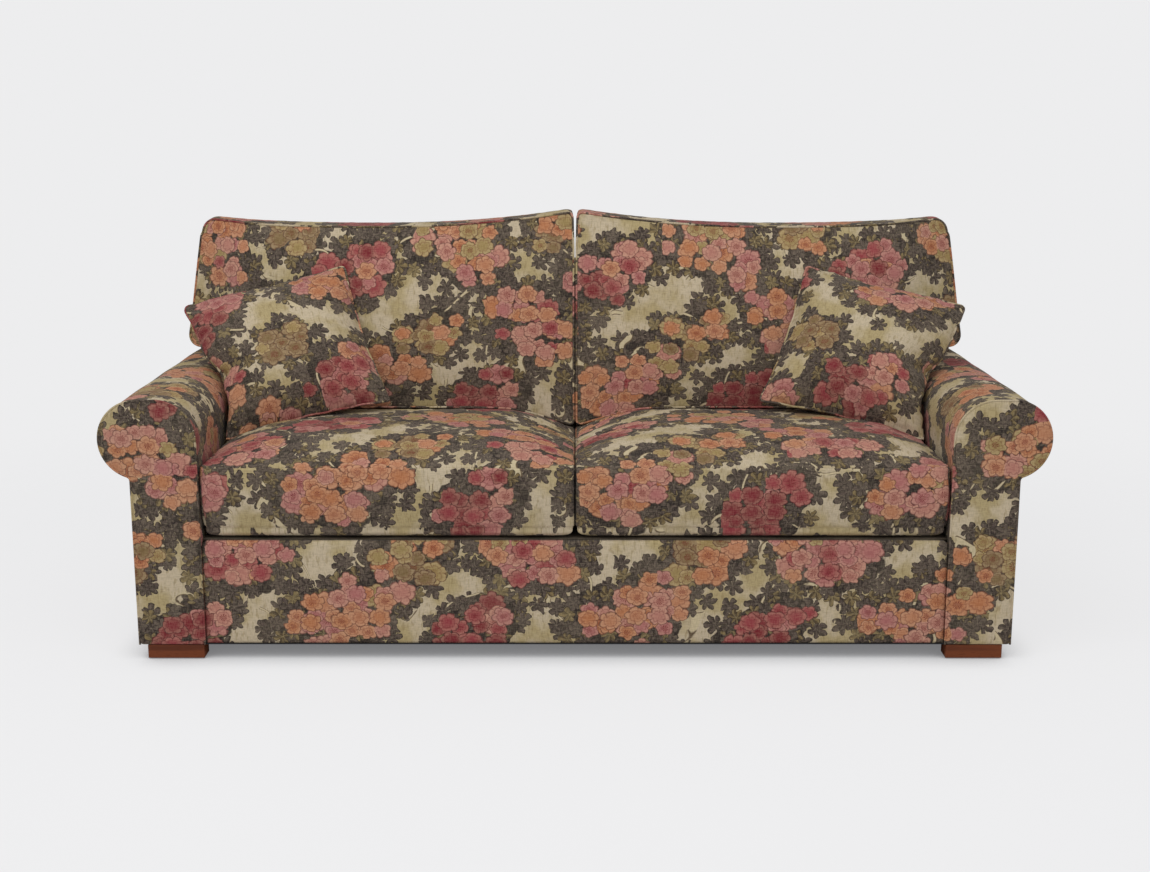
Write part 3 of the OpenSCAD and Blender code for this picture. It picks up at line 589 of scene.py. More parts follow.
def cloth_piece(name, points, quads, uvs, material=tapestry):
    """A mesh with one UV pair for each corner of each face"""
    piece = plain_piece(name, points, [tuple(map(int, q)) for q in quads], material)
    cut = piece.data.uv_layers.new(name="cut")
    cut.data.foreach_set("uv", np.array([c for face in uvs for c in face], float).ravel())
    return piece


def net(points_uv, name, flip=False, material=tapestry):
    """A cloth over a grid of points, given as rows of (point, uv)"""
    rows, columns = len(points_uv), len(points_uv[0])
    points = [p for row in points_uv for p, _ in row]
    flat = [c for row in points_uv for _, c in row]
    quads = []
    for i in range(rows - 1):
        for j in range(columns - 1):
            q = (i * columns + j, i * columns + j + 1, (i + 1) * columns + j + 1, (i + 1) * columns + j)
            quads.append(q[::-1] if flip else q)
    return cloth_piece(name, points, quads, [[flat[k] for k in q] for q in quads], material)


def thicken(piece, thickness):
    """Gives a cloth its thickness, inwards from where it lies"""
    wall = piece.modifiers.new("cloth_thickness", "SOLIDIFY")
    wall.thickness = thickness
    wall.offset = -1
    return piece


# Piping: a covered cord along a seam, its cloth cut on the bias. The tree sweeps a round section
# along the seam's line, and gives each corner its place on the printed cloth.
sewn = bpy.data.node_groups.new("piping", "GeometryNodeTree")
sewn.is_modifier = True
sewn_kinds = {"Seam": "Geometry", "Cord radius": "Float", "Sides": "Int", "Print place": "Vector", "Cloth": "Material"}
sewn_inputs = {
    label: sewn.interface.new_socket(name=label, in_out="INPUT", socket_type="NodeSocket" + kind)
    for label, kind in sewn_kinds.items()
}
sewn.interface.new_socket(name="Piping", in_out="OUTPUT", socket_type="NodeSocketGeometry")
start = Wire(sewn)
seam_line, cord_radius, cord_sides, print_place, cord_cloth = start.node("NodeGroupInput", {}, out=tuple(sewn_inputs))
spine = start.node("GeometryNodeMeshToCurve", {}, seam_line, out="Curve")
section = start.node("GeometryNodeCurvePrimitiveCircle", {}, Resolution=cord_sides, Radius=cord_radius, out="Curve")
cord = start.node("GeometryNodeCurveToMesh", {}, spine, Profile_Curve=section, Fill_Caps=True, out="Mesh")
cord = start.node("GeometryNodeSetShadeSmooth", {}, cord)
x, y, z = start.node("ShaderNodeSeparateXYZ", {}, start.node("GeometryNodeInputPosition", {}), out=("X", "Y", "Z"))
on_cloth = start.node("ShaderNodeCombineXYZ", {}, x, z + y * 0.3) + print_place
corner_pairs = {"data_type": "FLOAT2", "domain": "CORNER"}
cord = start.node("GeometryNodeStoreNamedAttribute", corner_pairs, cord, Name="cut", Value=on_cloth)
cord = start.node("GeometryNodeRealizeInstances", {}, cord)
cord = start.node("GeometryNodeSetMaterial", {}, cord, Material=cord_cloth)
start.tree.links.new(cord.socket, sewn.nodes.new("NodeGroupOutput").inputs[0])


def piped_seam(name, path, radius, closed, place):
    """Piping along a line of points, made by the tree and kept as a mesh"""
    n = len(path)
    steps = [(k, k + 1) for k in range(n - 1)] + [(n - 1, 0)] * closed
    line = bpy.data.meshes.new(name)
    line.from_pydata([tuple(map(float, p)) for p in path], steps, [])
    piece = placed(name, line)
    sewing = piece.modifiers.new("piping", "NODES")
    sewing.node_group = sewn
    chosen = {"Cord radius": radius, "Sides": 10, "Print place": (*place, 0.0), "Cloth": tapestry}
    for label, value in chosen.items():
        sewing[sewn_inputs[label].identifier] = value
    piece.data = bpy.data.meshes.new_from_object(piece.evaluated_get(bpy.context.evaluated_depsgraph_get()))
    piece.modifiers.clear()
    tidy = bmesh.new()
    tidy.from_mesh(piece.data)
    bmesh.ops.recalc_face_normals(tidy, faces=tidy.faces)
    tidy.to_mesh(piece.data)
    tidy.free()
    return piece


def padded_panel(name, outline, front, rear, dome, side=1):
    """A panel cut to a closed outline in X and Z: rolled edges, a domed face, and a flat back"""
    outline = np.array(outline)
    if abs(np.linalg.norm(outline[0] - outline[-1])) < 1e-9:
        outline = outline[:-1]
    run = run_along(outline, True)

    def along(s):
        return np.stack([np.interp(s % run[-1], run, np.r_[outline[:, k], outline[0, k]]) for k in (0, 1)], 1)

    # the way in is square to a long stretch of the edge, so the rolled edge doesn't fold at a corner
    stretch = 0.045
    way = unit(along(run[:-1] + stretch) - along(run[:-1] - stretch))
    area = 0.5 * np.sum(outline[:, 0] * np.roll(outline[:, 1], -1) - np.roll(outline[:, 0], -1) * outline[:, 1])
    inward = np.stack([-way[:, 1], way[:, 0]], 1) * (1 if area > 0 else -1)
    # from the flat back round the edge and over the face: how far in, and how far from the arm fronts
    loops = [(0, rear), (0, front + 0.0040), (0.0008, front + 0.0020), (0.0030, front + 0.0006)]
    loops += [(d, front - dome * math.sin(min(1, d / 0.034) * math.pi / 2)) for d in (0.007, 0.013, 0.022, 0.034)]
    n = len(outline)
    points, flat = [], []
    for inset, y in loops:
        for p, w in zip(outline, inward):
            q = p + w * inset
            points.append((q[0], y, q[1]))
            flat.append((q[0], q[1]))
    quads = [
        (i * n + j, i * n + (j + 1) % n, (i + 1) * n + (j + 1) % n, (i + 1) * n + j)
        for i in range(len(loops) - 1)
        for j in range(n)
    ]
    points = [(side * x, y - half_depth, z) for x, y, z in points]
    flat = [(side * u, v) for u, v in flat]
    piece = plain_piece(name, points, quads, tapestry)
    shape = bmesh.new()
    shape.from_mesh(piece.data)
    shape.verts.ensure_lookup_table()
    for ring in (range(n), range((len(loops) - 1) * n, len(loops) * n)):
        ring = list(ring)
        edges = [shape.edges.get((shape.verts[a], shape.verts[b])) for a, b in zip(ring, ring[1:] + ring[:1])]
        bmesh.ops.triangle_fill(shape, use_beauty=True, edges=edges)
    bmesh.ops.recalc_face_normals(shape, faces=shape.faces)
    cut = shape.loops.layers.uv.new("cut")
    for face in shape.faces:
        face.smooth = True
        for corner in face.loops:
            corner[cut].uv = flat[corner.vert.index]
    shape.to_mesh(piece.data)
    shape.free()
    return piece


for side, hand in ((1, "left"), (-1, "right")):
    profile, run = evened(arm_line(0), 0.008)
    ahead = unit(np.gradient(profile, axis=0))
    outward = np.stack([ahead[:, 1], -ahead[:, 0]], 1)
    # the cover is eased in at its seams and lies very slightly uneven over the foam
    front_seam, rear_seam, eased, unevenness = 0.009, 0.9685, 0.0022, 0.0007
    grid = []
    for y in np.linspace(front_seam, rear_seam, 49):
        ease_in = sum(eased * math.exp(-((away / 0.010) ** 2)) for away in (y - front_seam, rear_seam - y))
        row = []
        for (x, z), n, s in zip(profile, outward, run):
            ripple = math.sin(9 * s + 3 * y + hand.count("r")) + math.sin(23 * y + 4 * s)
            drift = unevenness * ripple - ease_in
            point = (side * (x + n[0] * drift), y - half_depth, z + n[1] * drift)
            row.append((point, (side * (0.3 - s), y + 0.11)))
        grid.append(row)
    cover = thicken(net(grid, hand + "_arm_cloth", flip=side > 0), 0.0018)
    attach(cover, "sofa_frame")
    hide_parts(hand + "_arm_cover")

    inner, _ = evened(arm_line(0.0025), 0.012)
    lining = [[((side * x, y - half_depth, z), (x, y)) for x, z in inner] for y in np.linspace(0.012, 0.966, 9)]
    padding = thicken(net(lining, hand + "_arm_padding", flip=side > 0, material=foam), 0.0165)
    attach(padding, "sofa_frame")
    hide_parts(hand + "_arm_foam")

    round_foot, within = 0.007, 0.0012
    left_x, right_x = -(panel_out - within), -(arm_in + within)
    foot_edge = arc((left_x + round_foot, frame_low + round_foot), round_foot, 180, 270, 0.003)
    foot_edge += [(x, frame_low) for x in np.linspace(left_x + round_foot, right_x - round_foot, 16)[1:-1]]
    foot_edge += arc((right_x - round_foot, frame_low + round_foot), round_foot, 270, 360, 0.003)
    over, _ = evened([p for p in arm_line(within) if p[1] > frame_low + 0.008], 0.007)
    up = [(right_x, z) for z in np.linspace(frame_low + 0.012, over[0][1] - 0.008, 45)]
    down = [(left_x, z) for z in np.linspace(over[-1][1] - 0.008, frame_low + 0.012, 40)]
    facing_edge = up + list(over) + down + foot_edge
    facing = padded_panel(hand + "_arm_facing_panel", facing_edge, 0.0022, 0.0098, 0.0022, side)
    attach(facing, "sofa_frame")
    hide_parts(hand + "_arm_facing")
    line, _ = evened(arm_line(0.0006), 0.006)
    line = [(side * x, 0.0046 - half_depth, z) for x, z in line]
    piping = piped_seam(hand + "_facing_piping", line, 0.0026, False, (0.0, 0.144))
    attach(piping, "sofa_frame")

# ---------------------------------------------------------------------------
# Dust cover: thin black cloth stapled up under the frame, turned in at its
# edges, and sagging a little between the rails.
# ---------------------------------------------------------------------------
low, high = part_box("dust_cover")
dust_cloth = thread_finish("dust_cloth", written(42, 42, 44), written(58, 58, 60), 0.0022)
rail_bays, deepest_sag, ripple = 3, 0.0016, 0.0002
grid = []
for v in np.linspace(0, 1, 41):
    row = []
    for u in np.linspace(0, 1, 91):
        sag = deepest_sag * abs(math.sin(rail_bays * math.pi * u)) * math.sin(math.pi * v) ** 0.5
        sag += ripple * math.sin(70 * u) * math.sin(3 * v)
        x, y = low[0] + u * (high[0] - low[0]), low[1] + v * (high[1] - low[1])
        row.append(((x, y, high[2] - 0.0001 - sag), (x, y)))
    grid.append(row)
under_cloth = thicken(net(grid, "dust_cover_cloth", material=dust_cloth), 0.0008)
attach(under_cloth, "sofa_frame")
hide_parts("dust_cover")

# ---------------------------------------------------------------------------
# Front border: a padded panel over the front rail, between the arms and a
# little behind them, its two top corners rounded and its edges rolled.
# ---------------------------------------------------------------------------
border_w, border_top, corner = 0.8975, 0.295, 0.016
border_line = (
    [(-border_w, frame_low)]
    + [(x, frame_low) for x in np.linspace(-border_w, border_w, 120)[1:-1]]
    + [(border_w, z) for z in np.linspace(frame_low, border_top - corner, 18)]
    + arc((border_w - corner, border_top - corner), corner, 0, 90, 0.003)[1:]
    + [(x, border_top) for x in np.linspace(border_w - corner, corner - border_w, 120)[1:-1]]
    + arc((corner - border_w, border_top - corner), corner, 90, 180, 0.003)
    + [(-border_w, z) for z in np.linspace(border_top - corner, frame_low, 18)[1:-1]]
)
border = padded_panel("front_border_panel", border_line, 0.0115, 0.0236, 0.0018)
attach(border, "sofa_frame")
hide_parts("front_border_cover", "front_border_pad")

# ---------------------------------------------------------------------------
# Deck: felt over the springs under a dark platform cloth, stitched along the
# front edge, which the seat cushions hide until they are drawn out.
# ---------------------------------------------------------------------------
platform, shader, start = finish_named("platform_cloth", 0.93, 0.12)
lie = start.node("ShaderNodeTexCoord", {}, out="UV")
x, y, _ = plane_parts(lie * (2 * math.pi / 0.003))
ribs = abs(sine(x + y))
lint = noise(lie, 180, 4)
join(mix(ease(lint, 0.35, 0.7) * 0.7, written(84, 76, 66), written(104, 94, 80)), shader, "Base Color")
join(bump(ribs * 0.5 + lint * 0.5, 0.35, 0.0008), shader, "Normal")
low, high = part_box("seat_deck")
# it rises over each spring, falls at its edges, and has a seam behind its front edge
first_spring, spring_pitch, wave, edge_fall, edge_reach, seam_back = 0.05, 1.70 / 8, 0.0012, 0.0018, 0.03, 0.09
grid = []
for y in np.linspace(low[1] + 0.002, high[1] - 0.002, 43):
    row = []
    for x in np.linspace(low[0] + 0.001, high[0] - 0.001, 121):
        ends = min(1.0, min(x - low[0], high[0] - x) / edge_reach) * min(1.0, min(y - low[1], high[1] - y) / edge_reach)
        rise = wave * math.cos(2 * math.pi * (x - low[0] - first_spring) / spring_pitch) - edge_fall * (1 - ends) - wave
        seam = -0.0012 * math.exp(-(((y - low[1] - seam_back) / 0.004) ** 2))
        row.append(((x, y, high[2] + rise + seam), (x, y)))
    grid.append(row)
deck = thicken(net(grid, "seat_deck_cloth", material=platform), 0.006)
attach(deck, "sofa_frame")
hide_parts("seat_deck")

# ---------------------------------------------------------------------------
# Back: padding and a close cover over the raked inside, the top and the
# wings, and a plain outside back sewn to it along the edge.
# ---------------------------------------------------------------------------
rake = math.tan(math.radians(10))
deck_top, seat_reach = 0.300, 0.760


def inside_back(z):
    """Distance from the arm fronts to the inside back at a height"""
    return seat_reach + (z - deck_top) * rake


back_half, back_top, back_round, back_rear = 1.030, 0.880, 0.030, 0.9675
roll_radius = 0.026
between_arms, round_scroll, over_scroll = 0.8965, 0.0955, 0.6405


def back_section(inset):
    """Up the raked face from the deck, over the roll and back along the top"""
    face = [(inside_back(z) + inset, z) for z in np.linspace(deck_top + 0.001, back_top - 0.034, 30)]
    y_top = inside_back(back_top) + inset
    roll = [
        (y_top - 0.002 + roll_radius * (1 - math.cos(a)), back_top - inset - roll_radius * (1 - math.sin(a)))
        for a in np.linspace(0.1, math.pi / 2, 8)
    ]
    return evened(face + roll + [(y, back_top - inset) for y in np.linspace(y_top + 0.03, back_rear, 6)], 0.014)


def back_reach(z, inset):
    """Half width of the back at a height: between the arms, round the scrolls, and out over them"""
    wide = back_half - inset
    if z > back_top - back_round:
        wide -= back_round - math.sqrt(max(0.0, back_round**2 - (z - back_top + back_round) ** 2))
    if z < scroll_height - 0.002:
        return between_arms
    if z < over_scroll:
        return scroll_in - math.sqrt(max(0, round_scroll**2 - (z - scroll_height) ** 2))
    return wide


def wrapped_cover(inset, name, material):
    """The raked face and the top of the back in one piece, from one side to the other"""
    line, run = back_section(inset)
    grid = []
    for share in np.r_[-1.0, -0.985:0.986:0.0275, 1.0]:
        across = [share * back_reach(z, inset) for _, z in line]
        grid.append([((x, y - half_depth, z), (x, s + 0.2)) for x, (y, z), s in zip(across, line, run)])
    return net(grid, name, flip=True, material=material)


def wing_side(inset, name, material, side):
    """The end of the back above an arm, from the raked face to the outside back, over the rounded corner"""
    line, _ = back_section(inset)
    raked = [p for p in line if p[0] < back_rear - 0.09]
    round_low = back_top - back_round
    round_heights = round_low + back_round * np.sin(np.linspace(0.2, math.pi / 2, 8))
    heights = np.r_[over_scroll, np.linspace(0.655, round_low, 14), round_heights]
    grid = []
    for z in np.unique(np.minimum(heights, back_top - inset)):
        front = float(np.interp(z, [p[1] for p in raked], [p[0] for p in raked]))
        x = side * back_reach(z, inset)
        grid.append([((x, y - half_depth, z), (side * (y + 0.13), z)) for y in np.linspace(front, back_rear, 14)])
    return net(grid, name, flip=side < 0, material=material)


inside_cloth = thicken(wrapped_cover(0.0, "inside_back_cloth", tapestry), 0.0018)
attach(inside_cloth, "sofa_frame")
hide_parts("inside_back_cover")
padding = thicken(wrapped_cover(0.0025, "back_padding", foam), 0.018)
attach(padding, "sofa_frame")
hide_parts("inside_back_pad")
for side, hand in ((-1, "left"), (1, "right")):
    wing = thicken(wing_side(0.0, hand + "_wing_cloth", tapestry, side), 0.0018)
    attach(wing, "sofa_frame")
    wing_pad = thicken(wing_side(0.0025, hand + "_wing_padding", foam, side), 0.014)
    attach(wing_pad, "sofa_frame")

# heights and half widths of the outside back, up the arm, over its scroll and up the end of the back
outline = [(z, -x) for x, z in evened(arm_line(0), 0.006)[0] if x < -back_half - 0.003 and z < 0.6395]
outline = sorted(outline) + [(z, back_half) for z in np.linspace(0.643, back_top - back_round, 18)]
outline += [(back_top - back_round + b, back_half - back_round + a) for a, b in arc((0, 0), back_round, 8, 90, 0.004)]
rows = []
for z, half in outline:
    row = []
    for share in np.sin(np.linspace(-math.pi / 2, math.pi / 2, 61)):
        waver = math.sin(5 * share + 11 * z) + math.sin(13 * z + 2)
        slack = 0.0006 * waver * (1 - share**2) * min(1, (z - frame_low) / 0.05)
        row.append(((share * half, half_depth + slack, z), (-share * half, z + 0.21)))
    rows.append(row)
outside = thicken(net(rows, "outside_back_cloth", flip=True), 0.0012)
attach(outside, "sofa_frame")
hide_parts("outside_back_cover")

# ---------------------------------------------------------------------------
# Seat cushions: foam blocks in boxed covers with plain seams. Each crown falls
# away under the back cushion and dips at the inner rear corner, and the cover
# is gathered along its seams.
# ---------------------------------------------------------------------------
beside_seam = [0, 0.0025, 0.0065, 0.0125, 0.021]


def drawn_close(first, last, step):
    """Places from one seam to another, close together beside the seams"""
    near, even = np.array(beside_seam), 0.031
    count = max(1, round((last - first - 2 * even) / step))
    return np.r_[first + near, np.linspace(first + even, last - even, count + 1), last - near[::-1]]


def smooth_share(t):
    t = np.clip(t, 0, 1)
    return t * t * (3 - 2 * t)


def bell(x):
    return np.exp(-(x**2))


def crown_share(u, v, power):
    """How full a cushion is at a place, from 1 in its middle to 0 at its seams"""
    return (1 - np.minimum(1, np.abs(u)) ** power) * (1 - np.minimum(1, np.abs(v)) ** power)


def rounded_corner(a, b, corner, toward, radius):
    """Draws grid places near a square corner in onto its rounding"""
    u = (radius - (a - corner[0]) * toward[0]) / radius
    v = (radius - (b - corner[1]) * toward[1]) / radius
    near = (u > 0) & (v > 0)
    u, v = np.clip(u, 0, 1), np.clip(v, 0, 1)
    new_u, new_v = u * np.sqrt(1 - v * v / 2), v * np.sqrt(1 - u * u / 2)
    a = np.where(near, corner[0] + toward[0] * radius * (1 - new_u), a)
    b = np.where(near, corner[1] + toward[1] * radius * (1 - new_v), b)
    return a, b


def edge_walk(kept):
    """The grid places round the edge of the kept cells, anticlockwise, as two rows of numbers"""
    follow = {}
    for i, j in zip(*np.nonzero(kept)):
        for a, b, ni, nj in (
            ((i, j), (i + 1, j), i, j - 1),
            ((i + 1, j), (i + 1, j + 1), i + 1, j),
            ((i + 1, j + 1), (i, j + 1), i, j + 1),
            ((i, j + 1), (i, j), i - 1, j),
        ):
            beside = 0 <= ni < kept.shape[0] and 0 <= nj < kept.shape[1] and kept[ni, nj]
            if not beside:
                follow[a] = b
    place = min(follow, key=lambda q: (q[1], q[0]))
    walk = [place]
    while follow[walk[-1]] != place:
        walk.append(follow[walk[-1]])
    return np.array(walk).T


def boxed_cover(name, face, rear, face_uv, rear_uv, kept, band, band_v, side):
    """Two panels on one grid, joined round their edge by a band; band holds the rows between the
    two edges, band_v their height on the cloth, and the right cushion is the left one mirrored.
    With the cover come the rows of the band, the grid's used places, and the points of each panel"""
    shape = kept.shape
    used = np.zeros((shape[0] + 1, shape[1] + 1), bool)
    for di in (0, 1):
        for dj in (0, 1):
            used[di : di + shape[0], dj : dj + shape[1]] |= kept
    count = int(used.sum())
    number = np.full(used.shape, -1)
    number[used] = np.arange(count)
    wi, wj = edge_walk(kept)
    n = len(wi)
    rings = [number[wi, wj]]
    points = [face[used], rear[used]]
    total = 2 * count
    for row in band:
        points.append(row(wi, wj))
        rings.append(np.arange(total, total + n))
        total += n
    rings.append(number[wi, wj] + count)
    points = np.vstack(points)
    quads, uvs = [], []
    for i, j in zip(*np.nonzero(kept)):
        corners = [(i, j), (i + 1, j), (i + 1, j + 1), (i, j + 1)]
        quads.append([number[c] for c in corners])
        uvs.append([face_uv[c] for c in corners])
        quads.append([number[c] + count for c in corners[::-1]])
        uvs.append([rear_uv[c] for c in corners[::-1]])
    run = run_along(face[wi, wj], True) + face_uv[wi[0], wj[0]][0]
    for upper, lower, v_upper, v_lower in zip(rings, rings[1:], band_v, band_v[1:]):
        for m in range(n):
            o = (m + 1) % n
            quads.append([lower[m], lower[o], upper[o], upper[m]])
            uvs.append([(run[m], v_lower), (run[m + 1], v_lower), (run[m + 1], v_upper), (run[m], v_upper)])
    if side < 0:
        points = points * (-1, 1, 1)
        quads = [q[::-1] for q in quads]
        uvs = [[(-u, v) for u, v in c[::-1]] for c in uvs]
    return cloth_piece(name, points, quads, uvs), rings, used, slice(count), slice(count, 2 * count)


def finer(piece):
    """Parts each face in four and smooths it, and keeps the result as the piece's mesh"""
    layer = piece.modifiers.new("finer", "SUBSURF")
    layer.levels = layer.render_levels = 1
    made = bpy.data.meshes.new_from_object(piece.evaluated_get(bpy.context.evaluated_depsgraph_get()))
    old = piece.data
    piece.modifiers.clear()
    piece.data = made
    bpy.data.meshes.remove(old)
    made.polygons.foreach_set("use_smooth", [True] * len(made.polygons))


def places(piece):
    return np.array([v.co for v in piece.data.vertices])


def set_places(piece, points):
    piece.data.vertices.foreach_set("co", np.asarray(points).ravel())
    piece.data.update()


def fill_with_air(piece, held_share, pressure, slack, most):
    """Blows the cover up with Cloth; a point moves no further than most, and held ones stay"""
    steps = 16
    group = piece.vertex_groups.new(name="held")
    for k, share in enumerate(held_share):
        if share > 0:
            group.add([k], float(share), "REPLACE")
    before = places(piece)
    cloth = piece.modifiers.new("filling", "CLOTH")
    cloth.settings.quality = 5
    cloth.settings.mass = 0.2
    cloth.settings.tension_stiffness = cloth.settings.compression_stiffness = 20
    cloth.settings.shear_stiffness = 8
    cloth.settings.bending_stiffness = 0.25
    cloth.settings.use_pressure = True
    cloth.settings.uniform_pressure_force = pressure
    cloth.settings.shrink_min = -slack
    cloth.settings.vertex_group_mass = "held"
    cloth.settings.effector_weights.gravity = 0
    cloth.collision_settings.use_collision = False
    cloth.point_cache.frame_end = steps
    for step in range(1, steps + 1):
        scene.frame_set(step)
    after = places(piece.evaluated_get(bpy.context.evaluated_depsgraph_get()))
    piece.modifiers.remove(cloth)
    scene.frame_set(1)
    move = after - before
    far = np.linalg.norm(move, axis=1)
    move *= np.minimum(1, most / np.maximum(far, 1e-9))[:, None]
    set_places(piece, before + move)


def point_normals(piece):
    flat = np.zeros(len(piece.data.vertices) * 3)
    piece.data.vertex_normals.foreach_get("vector", flat)
    return flat.reshape(-1, 3)


def note(piece, name, values):
    layer = piece.data.attributes.new(name, "FLOAT", "POINT")
    layer.data.foreach_set("value", np.asarray(values, np.float32))


def noted(piece, name):
    values = np.zeros(len(piece.data.vertices), np.float32)
    piece.data.attributes[name].data.foreach_get("value", values)
    return values.astype(float)


def uneven(run, seed, length):
    """A wavering line from -1 to 1 along a seam, for gathers of about a length"""
    made = 0
    for k, (stretch, share) in enumerate([(1.0, 0.5), (0.61, 0.3), (1.7, 0.35)]):
        turn = 2 * math.pi * run / (length * stretch)
        made = made + share * np.sin(turn + seed * (1.3 + 0.7 * k) + 0.9 * np.sin(run * 7 + seed + k))
    return made


def blank_notes(piece, gap):
    """For each point: its distance from the nearest seam, its place along it, the seam's pull, and how it is held"""
    total = len(piece.data.vertices)
    return np.full(total, gap), np.zeros(total), np.zeros(total), np.zeros(total)


def note_seams(piece, gap, run, pull):
    note(piece, "seam_gap", gap)
    note(piece, "seam_run", run)
    note(piece, "seam_pull", pull)


def gather(piece, seed, length, depth, reach, crease):
    """Puckers square to the seams, fading over a reach, and a crease along each seam"""
    gap, run, pull = noted(piece, "seam_gap"), noted(piece, "seam_run"), noted(piece, "seam_pull")
    allowance, ridge, crease_width = 0.006, 0.0006, 0.0026
    fade = (gap / allowance) * np.exp(1 - gap / allowance)
    wide = np.exp(-((gap / reach) ** 1.5)) * (1 - np.exp(-(gap / allowance)))
    lift = depth * pull * uneven(run, seed, length) * wide + ridge * fade
    lift -= crease * bell(gap / crease_width)
    set_places(piece, places(piece) + point_normals(piece) * lift[:, None])


def closed_line(points, spacing):
    """Even places round a closed seam"""
    return evened(np.vstack([points, points[:1]]), spacing)[0][:-1]


# the left cushion: outer and inner side, front and rear, bottom, lower and upper seam, and crown
seat_x0, seat_x1, seat_y0, seat_y1 = -0.893, -0.004, 0.002, 0.754
seat_low, seam_low, seam_high, crown = 0.3003, 0.3283, 0.4783, 0.042
boxing, boxing_puff = 0.150, 0.0045
seat_middle = ((seat_x0 + seat_x1) / 2, (seat_y0 + seat_y1) / 2)
seat_half = ((seat_x1 - seat_x0) / 2, (seat_y1 - seat_y0) / 2)


def seat_top(x, y):
    """Height of the seat: its crown, its fall under the back cushion, and the dip at its inner rear corner"""
    fall_reach, dip_deep = 0.324, 0.020
    front = np.maximum(0, (seat_middle[1] - y) / seat_half[1])
    back = np.clip(1 + (y - seat_y1) / fall_reach, 0, 1)
    share = crown_share((x - seat_middle[0]) / seat_half[0], front, 4.5)
    dip = dip_deep * smooth_share((x + 0.20) / 0.19) * smooth_share((y - 0.18) / 0.40)
    return seam_high + crown * share * (1 - back**1.3) - dip


